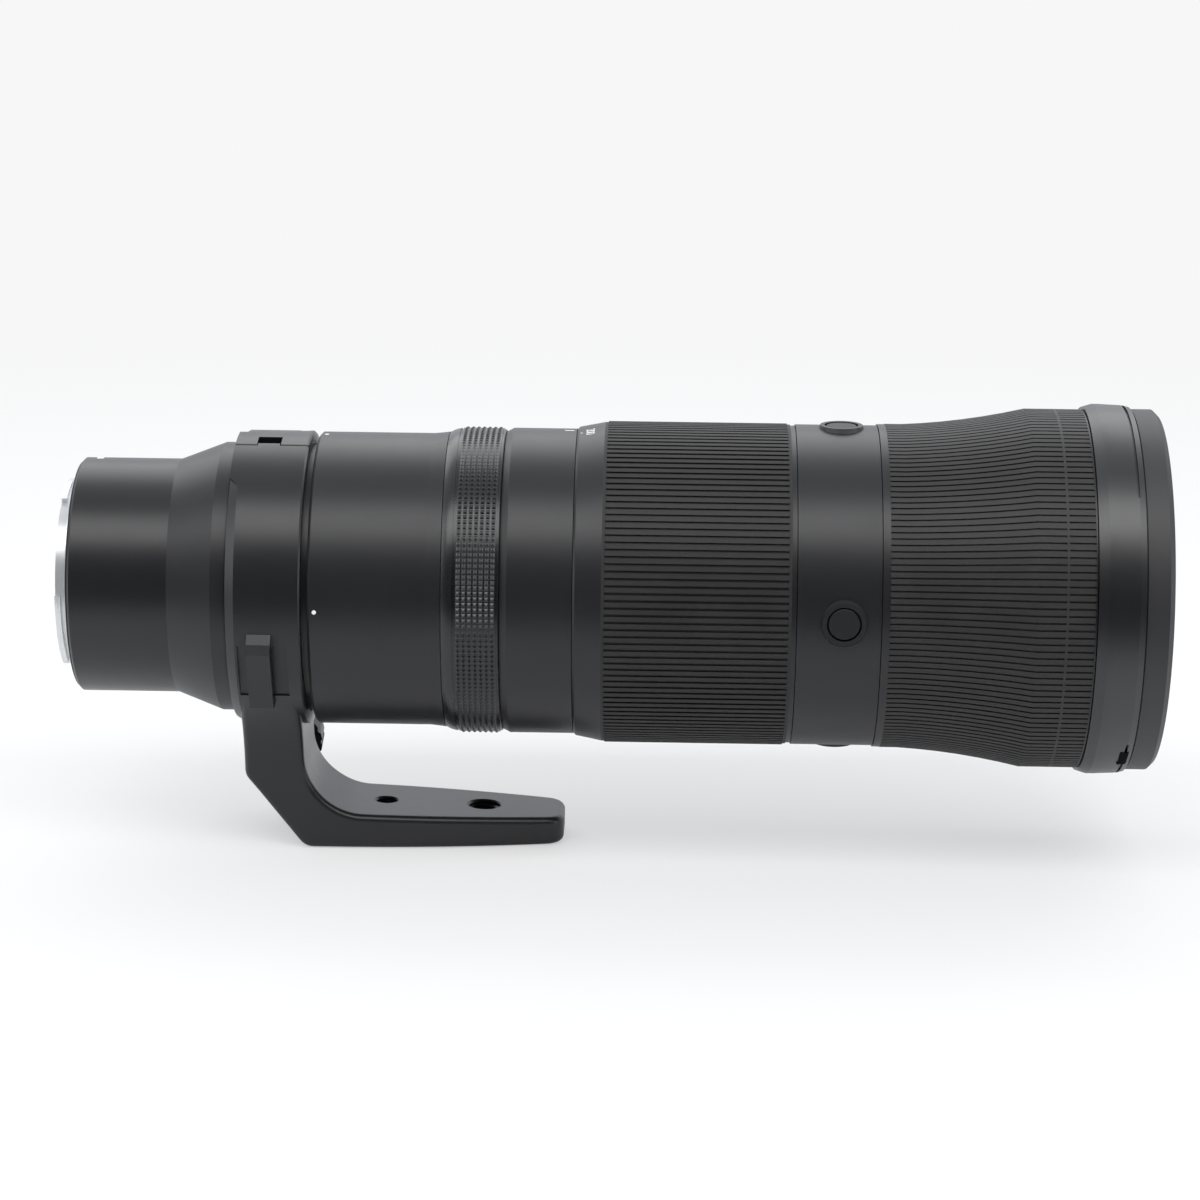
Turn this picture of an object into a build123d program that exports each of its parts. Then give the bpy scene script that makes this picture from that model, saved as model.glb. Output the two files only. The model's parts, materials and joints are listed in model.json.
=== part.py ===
from build123d import *
from math import atan2, cos, degrees, pi, radians, sin, sqrt
import os

os.makedirs("parts", exist_ok=True)

# A super-telephoto zoom lens in millimetres. The origin is the centre of the mount
# flange, +X runs along the optical axis to the front glass, +Z is up and the tripod
# foot is below. Angles round the axis run from the top towards the near side (-Y).

# Play and joint lines
run_gap = 0.3  # free gap between pieces that move past each other
seam = 0.2  # joint line beside a ring that turns
fit = 0.05  # radial play of a seated piece
overrun = 1.0  # how far a cutting shape runs past a face

# Visible lengths from the flange to the front
flange_step = 0.8
mount_length = 28.9
taper_length = 17.4
collar_room = 24.1
main_length = 38.3
control_width = 16.6
scale_width = 20.7
zoom_width = 64.0
button_width = 24.0
focus_width = 60.3
front_width = 13.4
rim_width = 8.3

# Bayonet mount
mount_radius = 34.75
flange_margin = 1.95
flange_thickness = 2.4
tube_bore = 25.0
tube_wall = 1.9
tube_reach = 3.7
lug_thickness = 1.6
lug_height = 1.5
lug_arc = 56
lug_count = 3
lug_start = 90
lock_hole_radius = 1.6
lock_hole_angle = 112
mount_wall = 4.0
mount_edge = 0.6
gasket_width = 0.85
gasket_depth = 0.6
gasket_proud = 0.5
screw_count = 6
screw_head_radius = 1.6
screw_head_depth = 1.1
screw_shank_radius = 0.9
screw_length = 4.6
recess_width = 0.5
recess_depth = 0.5

# Contacts and baffle
baffle_thickness = 1.6
baffle_rear = 1.0
baffle_wide = 37.0
baffle_high = 27.0
baffle_corner = 3.0
block_depth = 2.4
block_length = 3.0
block_arc = 84
pin_count = 10
pin_radius = 0.55
pin_proud = 0.5
pin_arc = 72

# Shells and inner tubes
wall = 2.0
rear_bore = 27.0
guide_bore = 34.4
cam_wall = 1.9
guide_room = 1.2
taper_run = 13.3
joint_inset = 3.8
joint_flange = 2.6
stack_flange = 4.0
shoulder = 3.8
shoulder_edge = 0.8
flare_length = 4.5
flare_height = 0.5
spigot_overlap = 9.8
cam_length = 71.0

# Tripod collar
ring_lead = 0.5
ring_width = 21.6
ring_wall = 3.7
ring_chamfer_run = 2.6
ring_chamfer = 1.6
ring_edge = 0.5
ledge_rear_angle = -1.5
ledge_near_angle = 36
ledge_slope = 62
track_inset = 9.8
track_width = 5.0
track_height = 0.6
hinge_angle = 13.8
hinge_pin_radius = 0.8
hinge_pin_inset = 1.4
tab_width = 6.4
notch_reach = 5.5
leg_inset = 2.2
leg_width = 17.7
leg_half = 17.5
leg_tangent_angle = 135
leg_fillet = 18.0
foot_drop = 79.0
heel_rise = 22.2
heel_run = 17.6
heel_fillet = 5.0
toe_length = 76.9
toe_half = 10.5
toe_corner = 6.0
toe_thickness = 8.3
plate_thickness = 10.8
plate_edge = 1.8
plate_rim = 2.0
taper_start = 8.0
small_thread_inset = 23.2
small_thread_radius = 3.175
large_thread_inset = 52.8
large_thread_radius = 4.7625
thread_chamfer = 0.5
clamp_reach = 60.6
clamp_end = 8.5
lug_plate = 6.0
lug_plate_width = 16.0
lug_plate_corner = 6.0
lug_blend = 6.0
clamp_shank_radius = 3.0
clamp_shank_play = 0.4
clamp_engagement = 8.0
knob_radius = 10.5
knob_thickness = 8.0
knob_edge = 1.0
knob_scallops = 16
scallop_radius = 1.1
knob_cap = 2.0
eyelet_angle = 116.5
eyelet_width = 6.9
eyelet_half = 13.2
eyelet_top_half = 10.1
eyelet_bar = 2.4
eyelet_slot = 2.9
eyelet_slot_half = 9.5
eyelet_recess_depth = 1.5
eyelet_recess_rear = 2.3
eyelet_recess_front = 5.0

# Switch panel on the far side
panel_angle = 270
panel_inset = 5.5
panel_length = 27.0
panel_half = 11.0
panel_proud = 1.7
panel_corner = 2.0
switch_pitch = 13.0
switch_pocket_long = 9.0
switch_pocket_wide = 4.6
switch_pocket_depth = 1.2
switch_long = 5.0
switch_wide = 4.0
switch_tall = 1.9
switch_travel = 3.0
switch_ridge = 0.4
switch_ridge_pitch = 1.2
switch_gap = 0.1

# Control, scale and zoom rings
control_band = 3.1
control_band_rise = 3.0
control_crest = 4.7
control_band_drop = 0.6
control_groove = 1.0
control_groove_drop = 1.0
control_knurl = 11.1
control_end_drop = 0.8
scale_wall = 4.4
scale_edge = 1.0
scale_edge_run = 2.0
zoom_cone = 8.2
zoom_cone_step = 0.6
zoom_cone_rise = 2.1
zoom_land = 9.0
zoom_shell = 2.5
zoom_band = 1.4
zoom_band_drop = 0.3
zoom_web_inset = 12.0
zoom_web = 6.0
zoom_grip_thickness = 1.6
zoom_ribs = 143
zoom_rib_depth = 0.6
zoom_ridge_share = 0.62
grip_end = 0.9

# Cams and zoom travel
zoom_turn = 70
cam_pin_radius = 1.5
cam_pin_play = 0.2
cam_pin_count = 3
variator_pin_angle = 30
variator_inset = 39.6
variator_travel = 24.0
compensator_inset = 61.6
compensator_pin_angle = 90
compensator_travel = 10.0

# Button barrel and buttons
front_tube_radius = 44.4
button_room = 0.5
button_wall = 2.6
boss_radius = 7.4
boss_taper = 1.1
boss_rise = 0.9
boss_root = 1.6
button_hole = 5.0
button_radius = 4.6
button_recess = 0.15
button_inset = 13.4
button_flange = 5.6
button_flange_thick = 0.5
button_pocket = 6.0
button_travel = 0.6
button_edge = 0.5

# Focus ring, front tube and front end
flare_inset = 7.2
flare_run = 36.3
focus_band = 2.2
focus_end = 0.5
focus_band_drop = 0.1
focus_shell = 1.8
focus_grip_thickness = 1.5
focus_ribs = 160
focus_rib_depth = 0.5
focus_ridge_share = 0.72
flare_steps = 6
flare_slope_share = 0.34
tube_cone_share = 0.36
front_glass_radius = 45.0
front_cell_wall = 2.35
front_cell_lip = 1.5
front_tube_overlap = 3.9
cell_flange = 3.0
front_barrel_wall = 5.35
front_barrel_rear_drop = 0.9
front_barrel_front_drop = 0.3
front_barrel_end_drop = 0.7
front_barrel_edge = 2.9
front_barrel_flat = 4.7
front_barrel_chamfer = 1.7
hood_groove_inset = 2.3
hood_groove_width = 0.8
hood_groove_depth = 1.0
hood_groove_arc = 96
hood_notch_radius = 1.6
hood_notch_angle = 144
hood_notch_depth = 1.2
rim_drop = 1.4
rim_seam = 0.5
rim_seam_depth = 0.8
rim_edge = 1.5
thread_depth = 4.5
thread_radius = 47.5
rim_lip = 1.3
rim_bevel = 0.6

# Glass and cells
front_glass_inset = 10.0
front_glass_edge = 7.0
front_glass_sag = 5.0
front_glass_hollow = -1.5
second_glass_radius = 42.0
second_glass_edge = 6.0
second_glass_sag = 2.0
second_glass_step = 12.0
cell_lip = 2.0
cell_length = 12.0
zoom_glass_radius = 26.0
zoom_glass_edge = 4.0
zoom_glass_sag = 2.0
zoom_lip = 1.0
stabiliser_inset = 17.0
stabiliser_plate = 3.0
stabiliser_bore = 24.0
stabiliser_frame_radius = 32.0
stabiliser_cell_radius = 29.0
stabiliser_cell_length = 7.4
stabiliser_glass_radius = 21.0
stabiliser_glass_sag = 1.0
focus_inset = 20.0
focus_glass_radius = 22.0
focus_travel = 8.0
focus_arm_width = 4.0
focus_arm_length = 3.0
focus_arm_reach = 2.0
lead_screw_radius = 1.0
motor_radius = 2.9
motor_length = 9.2
motor_gap = 0.2
rear_glass_inset = 5.6
rear_glass_edge = 5.0
rear_glass_sag = 2.0
rear_lip = 5.0
rear_lip_thickness = 2.0
barrel_lip = 2.6

# Iris
iris_inset = 41.0
iris_plate = 2.0
iris_rim = 2.4
iris_open = 17.0
iris_depth = 7.0
blade_count = 9
blade_thickness = 0.15
blade_gap = 0.1
blade_margin = 0.5
blade_width = 6.5
blade_arc = 80
blade_pivot = 25.8
blade_arm = 4.2
blade_pin_radius = 0.6
blade_pin_play = 0.15
blade_tab = 1.5
blade_turn = 36
iris_ring_thickness = 1.5

# Stations along the axis
x_mount = flange_step
x_taper = x_mount + mount_length
x_collar = x_taper + taper_length
x_main = x_collar + collar_room
x_control = x_main + main_length
x_scale = x_control + control_width + 2 * seam
x_zoom = x_scale + scale_width
x_button = x_zoom + zoom_width + 2 * seam
x_focus = x_button + button_width
x_front = x_focus + focus_width + 2 * seam
x_rim = x_front + front_width
x_end = x_rim + rim_width
x_joint = x_main + joint_inset
x_stack = x_button + stack_flange

# Radii, each built on the piece inside it
flange_radius = mount_radius - flange_margin
tube_radius = tube_bore + tube_wall
rear_radius = rear_bore + wall
guide_radius = guide_bore + wall
cam_bore = guide_radius + run_gap
cam_radius = cam_bore + cam_wall
spigot_bore = cam_radius + run_gap
spigot_radius = spigot_bore + wall
turn_bore = spigot_radius + run_gap
main_bore = guide_radius + guide_room
neck_radius = main_bore + wall
main_radius = neck_radius + shoulder
collar_bore = neck_radius + run_gap
collar_radius = collar_bore + ring_wall
groove_radius = neck_radius + track_height + run_gap
scale_radius = spigot_radius + scale_wall
zoom_radius = scale_radius + zoom_cone_rise
grip_seat = scale_radius + zoom_cone_rise + zoom_band_drop - zoom_grip_thickness
button_bore = front_tube_radius + button_room
button_barrel_radius = button_bore + button_wall
boss_plane = button_barrel_radius + boss_rise
button_pocket_depth = seam + button_flange_thick + button_travel + run_gap - button_room
focus_bore = front_tube_radius + run_gap
focus_rear = focus_bore + focus_shell
front_cell_radius = front_glass_radius + front_cell_wall
front_tube_bore = front_cell_radius + fit
front_tube_front = front_tube_bore + wall
focus_front_bore = front_tube_front + run_gap
focus_front = focus_front_bore + focus_shell + seam / 2
front_barrel_bore = front_tube_front + fit
front_barrel_radius = front_barrel_bore + front_barrel_wall
rim_radius = front_barrel_radius - rim_drop
screw_axis = rear_radius + run_gap + motor_radius


def turned(outline, start=0, sweep=360, mode=Mode.ADD):
    # Turns an outline of (x, radius) points round the optical axis.
    with BuildSketch(Plane.XZ.rotated((start, 0, 0))) as profile:
        with BuildLine():
            Polyline(*outline, close=True)
        make_face()
    revolve(profile.sketch, axis=Axis.X, revolution_arc=sweep, mode=mode)


def ring(rear, front, bore, radius, start=0, sweep=360, mode=Mode.ADD):
    turned([(rear, bore), (front, bore), (front, radius), (rear, radius)], start, sweep, mode)


def outward(x, angle, radius):
    # The plane that faces outward at a place on the barrel, with its x along the axis.
    side = radians(angle)
    facing = (0, -sin(side), cos(side))
    return Plane(origin=(x, radius * facing[1], radius * facing[2]), x_dir=(1, 0, 0), z_dir=facing)


def across(x, angle):
    # The plane across the axis whose x points outward and whose y follows the angle.
    side = radians(angle)
    return Plane(origin=(x, 0, 0), x_dir=(0, -sin(side), cos(side)), z_dir=(1, 0, 0))


def peg(plane, radius, length, mode=Mode.ADD):
    with BuildSketch(plane) as disc:
        Circle(radius)
    extrude(disc.sketch, amount=length, mode=mode)


def slab(plane, corner_a, corner_b, length, mode=Mode.ADD):
    # A block drawn on a plane between two corners.
    middle = ((corner_a[0] + corner_b[0]) / 2, (corner_a[1] + corner_b[1]) / 2)
    with BuildSketch(plane) as face:
        with Locations(middle):
            Rectangle(abs(corner_b[0] - corner_a[0]), abs(corner_b[1] - corner_a[1]))
    extrude(face.sketch, amount=length, mode=mode)


def ribbed(plane, length, bore, root, crest, ribs, ridge_share):
    # A sleeve whose outside carries straight ribs along the axis.
    pitch = 2 * pi / ribs
    points = []
    for rib in range(ribs):
        start = rib * pitch
        stop = start + ridge_share * pitch
        next_start = start + pitch
        points.append((crest * cos(start), crest * sin(start)))
        points.append((crest * cos(stop), crest * sin(stop)))
        points.append((root * cos(stop), root * sin(stop)))
        points.append((root * cos(next_start), root * sin(next_start)))
    with BuildSketch(plane) as section:
        with BuildLine():
            Polyline(*points, close=True)
        make_face()
        Circle(bore, mode=Mode.SUBTRACT)
    extrude(section.sketch, amount=length)


def glass(rear, edge, radius, front_sag, rear_sag):
    # A lens with an arc on each face; a negative sag is hollow.
    front = rear + edge
    with BuildSketch(Plane.XZ) as profile:
        with BuildLine():
            Line((rear, radius), (front, radius))
            SagittaArc((front, radius), (front, -radius), front_sag)
            Line((front, -radius), (rear, -radius))
            SagittaArc((rear, -radius), (rear, radius), rear_sag)
        make_face()
        with Locations((rear, -radius)):
            Rectangle(4 * radius, 2 * radius, mode=Mode.SUBTRACT)
    revolve(profile.sketch, axis=Axis.X)


# Bayonet mount: flange plate, short tube and lugs, with screw and lock holes.
screw_circle = (tube_radius + flange_radius) / 2
screw_places = [360 * n / screw_count for n in range(screw_count)]
with BuildPart() as bayonet_mount:
    ring(0, flange_thickness, tube_bore, flange_radius)
    ring(-tube_reach, 0, tube_bore, tube_radius)
    for n in range(lug_count):
        ring(-tube_reach, lug_thickness - tube_reach, tube_bore, tube_radius + lug_height,
             lug_start + 360 * n / lug_count, lug_arc)
    for angle in screw_places:
        with Locations(across(0, angle).location):
            with Locations((screw_circle, 0, flange_thickness / 2)):
                Cylinder(screw_shank_radius + fit, 2 * flange_thickness, mode=Mode.SUBTRACT)
            with Locations((screw_circle, 0, 0)):
                Cylinder(screw_head_radius + fit, 2 * (screw_head_depth + fit), mode=Mode.SUBTRACT)
    with Locations(across(0, lock_hole_angle).location):
        with Locations((screw_circle, 0, 0)):
            Cylinder(lock_hole_radius, 2 * screw_head_depth, mode=Mode.SUBTRACT)
bayonet_mount.part.label = "bayonet_mount"
export_step(bayonet_mount.part, "parts/bayonet_mount.step")

with BuildPart() as mount_screws:
    for angle in screw_places:
        with Locations(across(0, angle).location):
            with Locations((screw_circle, 0, screw_head_depth / 2)):
                Cylinder(screw_head_radius, screw_head_depth)
            with Locations((screw_circle, 0, (screw_head_depth + screw_length) / 2)):
                Cylinder(screw_shank_radius, screw_length - screw_head_depth)
            with Locations((screw_circle, 0, recess_depth / 2)):
                Box(recess_width, 2 * screw_head_radius - recess_width, recess_depth, mode=Mode.SUBTRACT)
                Box(2 * screw_head_radius - recess_width, recess_width, recess_depth, mode=Mode.SUBTRACT)
mount_screws.part.label = "mount_screws"
export_step(mount_screws.part, "parts/mount_screws.step")

# Light baffle with the picture window, and the contacts in front of it.
baffle_face = -baffle_rear
with BuildPart() as rear_baffle:
    ring(baffle_face, baffle_face + baffle_thickness, 0, tube_bore - fit)
    with BuildSketch(Plane.YZ.offset(baffle_face)) as window:
        RectangleRounded(baffle_wide, baffle_high, baffle_corner)
    extrude(window.sketch, amount=baffle_thickness, mode=Mode.SUBTRACT)
rear_baffle.part.label = "rear_baffle"
export_step(rear_baffle.part, "parts/rear_baffle.step")

block_rear = baffle_face - block_length
with BuildPart() as contact_block:
    ring(block_rear, baffle_face, tube_bore - fit - block_depth, tube_bore - fit,
         180 - block_arc / 2, block_arc)
contact_block.part.label = "contact_block"
export_step(contact_block.part, "parts/contact_block.step")

pin_circle = tube_bore - fit - block_depth / 2
with BuildPart() as contact_pins:
    for n in range(pin_count):
        angle = 180 + pin_arc * (n / (pin_count - 1) - 1 / 2)
        with Locations(across(block_rear - pin_proud / 2, angle).location):
            with Locations((pin_circle, 0, 0)):
                Cylinder(pin_radius, pin_proud)
contact_pins.part.label = "contact_pins"
export_step(contact_pins.part, "parts/contact_pins.step")

# Mount barrel: rear wall with the flange pocket, and a weather seal round the flange.
wall_front = flange_thickness + mount_wall
pocket = flange_radius + fit
gasket_outer = pocket + gasket_width
with BuildPart() as mount_barrel:
    turned([
        (flange_thickness, tube_radius), (flange_thickness, pocket),
        (x_mount + gasket_depth, pocket), (x_mount + gasket_depth, gasket_outer),
        (x_mount, gasket_outer), (x_mount, mount_radius - mount_edge),
        (x_mount + mount_edge, mount_radius), (x_taper, mount_radius),
        (x_taper, mount_radius - wall), (wall_front, mount_radius - wall),
        (wall_front, tube_radius),
    ])
    for angle in screw_places:
        with Locations(across(flange_thickness, angle).location):
            with Locations((screw_circle, 0, 0)):
                Cylinder(screw_shank_radius + fit, 2 * (screw_length - flange_thickness), mode=Mode.SUBTRACT)
mount_barrel.part.label = "mount_barrel"
export_step(mount_barrel.part, "parts/mount_barrel.step")

with BuildPart() as mount_gasket:
    ring(x_mount - gasket_proud, x_mount + gasket_depth, pocket, gasket_outer - fit)
mount_gasket.part.label = "mount_gasket"
export_step(mount_gasket.part, "parts/mount_gasket.step")

# Tapered barrel between the mount barrel and the collar seat.
taper_end = x_taper + taper_run
with BuildPart() as taper_barrel:
    turned([
        (x_taper, mount_radius), (taper_end, collar_bore), (x_collar, collar_bore),
        (x_collar, collar_bore - wall), (taper_end, collar_bore - wall),
        (x_taper, mount_radius - wall),
    ])
taper_barrel.part.label = "taper_barrel"
export_step(taper_barrel.part, "parts/taper_barrel.step")

# Main barrel: collar neck with its locating rib, visible body, and the long spigot
# that carries the control ring, the scale barrel and the rear of the zoom ring.
x_ring = x_collar + ring_lead
x_ring_end = x_ring + ring_width
x_track = x_ring + track_inset
track_rear = x_track - track_width / 2
track_front = x_track + track_width / 2
x_cam = x_button - run_gap - cam_length
x_spigot_end = x_zoom + spigot_overlap
relief = x_cam - run_gap
with BuildPart() as main_barrel:
    turned([
        (x_collar, main_bore), (x_collar, neck_radius), (track_rear, neck_radius),
        (track_rear, neck_radius + track_height), (track_front, neck_radius + track_height),
        (track_front, neck_radius), (x_main, neck_radius), (x_main, main_radius - shoulder_edge),
        (x_main + shoulder_edge, main_radius), (x_control - flare_length, main_radius),
        (x_control, main_radius + flare_height), (x_control, spigot_radius),
        (x_spigot_end, spigot_radius), (x_spigot_end, spigot_bore), (relief, spigot_bore),
        (relief, main_bore),
    ])
main_barrel.part.label = "main_barrel"
export_step(main_barrel.part, "parts/main_barrel.step")

# Tripod collar. The parting face holds the axis; the hinge is at its upper end and
# the clamp at its lower end.
clamp_angle = 180 + hinge_angle
hinge_radius = (collar_bore + collar_radius) / 2
knuckle = ring_wall / 2
tab_rear = x_track - tab_width / 2
tab_front = x_track + tab_width / 2
x_leg = x_ring + leg_inset
x_leg_front = x_leg + leg_width
x_toe = x_leg_front + toe_length
x_clamp = x_leg + leg_width / 2
collar_reach = clamp_reach + clamp_end + overrun + foot_drop


def collar_disc():
    turned([
        (x_ring, 0), (x_ring, collar_radius - ring_chamfer), (x_ring + ring_chamfer_run, collar_radius),
        (x_ring_end - ring_edge, collar_radius), (x_ring_end, collar_radius - ring_edge),
        (x_ring_end, 0),
    ])


def collar_cavity():
    turned([
        (x_ring - overrun, 0), (x_ring - overrun, collar_bore), (track_rear - run_gap, collar_bore),
        (track_rear - run_gap, groove_radius), (track_front + run_gap, groove_radius),
        (track_front + run_gap, collar_bore), (x_ring_end + overrun, collar_bore),
        (x_ring_end + overrun, 0),
    ], mode=Mode.SUBTRACT)


tangent_sine = sin(radians(leg_tangent_angle))
leg_blend = (collar_radius * tangent_sine - leg_half) / (1 - tangent_sine)
tangent = Vector(-tangent_sine, cos(radians(leg_tangent_angle)))
blend_centre = tangent * (collar_radius + leg_blend)
plate_top = plate_thickness - foot_drop
with BuildPart() as collar_foot:
    with BuildSketch(Plane.XZ) as side:
        with BuildLine():
            Polyline(
                (x_leg, 0), (x_leg, heel_rise - foot_drop), (x_leg + heel_run, -foot_drop),
                (x_toe, -foot_drop), (x_toe, toe_thickness - foot_drop), (x_leg_front, plate_top),
                (x_leg_front, 0), close=True,
            )
        make_face()
        fillet(side.vertices().sort_by_distance((x_leg_front, plate_top))[0], leg_fillet)
        fillet(side.vertices().sort_by_distance((x_leg, heel_rise - foot_drop))[0], heel_fillet)
        fillet(side.vertices().sort_by_distance((x_leg + heel_run, -foot_drop))[0], heel_fillet)
    extrude(amount=collar_radius + overrun, both=True)
    with BuildSketch(Plane.YZ.offset(x_leg)):
        with BuildLine():
            Polyline(
                (-leg_half, blend_centre.Y), (-leg_half, -foot_drop), (leg_half, -foot_drop),
                (leg_half, plate_top),
                ((clamp_reach + clamp_end) * sin(radians(hinge_angle)),
                 -(clamp_reach + clamp_end) * cos(radians(hinge_angle))),
                (0, 0), (collar_radius * tangent.X, collar_radius * tangent.Y),
            )
            RadiusArc((collar_radius * tangent.X, collar_radius * tangent.Y),
                      (-leg_half, blend_centre.Y), leg_blend)
        make_face()
    extrude(amount=leg_width + toe_length, mode=Mode.INTERSECT)
    with BuildSketch(Plane.XY.offset(-foot_drop)) as plan:
        with BuildLine():
            Polyline(
                (x_leg_front + taper_start, leg_half), (x_leg_front + taper_start, collar_radius),
                (x_leg - overrun, collar_radius), (x_leg - overrun, -collar_radius),
                (x_leg_front + taper_start, -collar_radius), (x_leg_front + taper_start, -leg_half),
            )
            TangentArc((x_leg_front + taper_start, -leg_half), (x_toe, -toe_half), tangent=(1, 0))
            Line((x_toe, -toe_half), (x_toe, toe_half))
            TangentArc((x_leg_front + taper_start, leg_half), (x_toe, toe_half), tangent=(1, 0))
        make_face()
        fillet(plan.vertices().group_by(Axis.X)[-1], toe_corner)
    extrude(amount=foot_drop, mode=Mode.INTERSECT)
    # Eased edges: round the plate's lower face, then round its top and up the leg's front
    fillet(collar_foot.faces().filter_by(Axis.Z).sort_by(Axis.Z)[0].edges(), plate_edge)
    fillet(collar_foot.edges().sort_by_distance((x_toe, 0, toe_thickness - foot_drop))[0], plate_rim)
    plate_slope = (plate_thickness - toe_thickness) / (x_toe - x_leg_front)
    for inset, radius in (
        (small_thread_inset, small_thread_radius), (large_thread_inset, large_thread_radius),
    ):
        x_hole = x_leg_front + inset
        with Locations((x_hole, 0, plate_thickness / 2 - foot_drop)):
            Cylinder(radius, plate_thickness, mode=Mode.SUBTRACT)
        with Locations((x_hole, 0, thread_chamfer / 2 - foot_drop)):
            Cone(radius + thread_chamfer, radius, thread_chamfer, mode=Mode.SUBTRACT)
        with Locations((x_hole, 0, plate_top - plate_slope * inset)):
            Cone(radius, radius + 2 * thread_chamfer, 2 * thread_chamfer, mode=Mode.SUBTRACT)
    collar_disc()
    # A full-width ledge below the hinge runs out into the ring's rear chamfer.
    with BuildPart(mode=Mode.PRIVATE) as ledge:
        ring(x_ring, x_ring + ring_chamfer_run, collar_bore, collar_radius, hinge_angle,
             2 * (ledge_near_angle - hinge_angle))
        ledge_end = outward(x_ring, ledge_near_angle, collar_radius).rotated((0, 0, -ledge_slope))
        with Locations(ledge_end.location):
            with Locations((0, -collar_radius, 0)):
                Box(2 * collar_radius, 2 * collar_radius, 2 * collar_radius, mode=Mode.SUBTRACT)
    add(ledge.part)
    with BuildSketch(across(x_ring + eyelet_recess_rear + overrun, eyelet_angle)) as recess:
        with Locations((collar_radius, 0)):
            Rectangle(2 * eyelet_recess_depth, 2 * eyelet_slot_half)
    extrude(recess.sketch, amount=ring_width - eyelet_recess_rear - eyelet_recess_front, mode=Mode.SUBTRACT)
    eyelet_floor = collar_radius - eyelet_recess_depth
    with BuildSketch(across(x_track - eyelet_width / 2, eyelet_angle)) as eyelet:
        with BuildLine():
            Polyline(
                (collar_bore + knuckle, -eyelet_half),
                (eyelet_floor + eyelet_slot, -eyelet_half + eyelet_bar / 2),
                (eyelet_floor + eyelet_slot + eyelet_bar, -eyelet_top_half),
                (eyelet_floor + eyelet_slot + eyelet_bar, eyelet_top_half),
                (eyelet_floor + eyelet_slot, eyelet_half - eyelet_bar / 2),
                (collar_bore + knuckle, eyelet_half), close=True,
            )
        make_face()
        with Locations((eyelet_floor + eyelet_slot / 2, 0)):
            Rectangle(eyelet_slot, 2 * eyelet_slot_half, mode=Mode.SUBTRACT)
    extrude(eyelet.sketch, amount=eyelet_width)
    collar_cavity()
    # Parting face: the far half is cut away, with room round the strap's knuckles.
    slab(across(x_ring - overrun, clamp_angle), (0, -run_gap), (collar_reach, collar_reach),
         toe_length + leg_width + ring_width, mode=Mode.SUBTRACT)
    slab(across(x_ring - overrun, clamp_angle), (0, 0), (-collar_reach, collar_reach),
         ring_width + 2 * overrun, mode=Mode.SUBTRACT)
    with Locations(across(x_ring - overrun, hinge_angle).location):
        with Locations((hinge_radius, 0, (tab_rear - x_ring + overrun) / 2)):
            Cylinder(knuckle + run_gap, tab_rear - x_ring + overrun, mode=Mode.SUBTRACT)
        with Locations((hinge_radius, 0, (tab_front + x_ring_end) / 2 - x_ring + 3 * overrun / 2)):
            Cylinder(knuckle + run_gap, x_ring_end - tab_front + overrun, mode=Mode.SUBTRACT)
    with Locations(across(x_track, hinge_angle).location):
        with Locations((hinge_radius, 0, 0)):
            Cylinder(knuckle, tab_width)
    ring(track_rear - run_gap, track_front + run_gap, collar_bore - overrun, groove_radius,
         mode=Mode.SUBTRACT)
    with Locations(across(x_ring, hinge_angle).location):
        with Locations((hinge_radius, 0, ring_width / 2)):
            Cylinder(hinge_pin_radius + fit, ring_width, mode=Mode.SUBTRACT)
    with Locations(outward(x_clamp, clamp_angle + 90, 0).location):
        with Locations((0, clamp_reach, 0)):
            Cylinder(clamp_shank_radius + clamp_shank_play, 2 * (clamp_engagement + overrun),
                     mode=Mode.SUBTRACT)
collar_foot.part.label = "collar_foot"
export_step(collar_foot.part, "parts/collar_foot.step")

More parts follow.
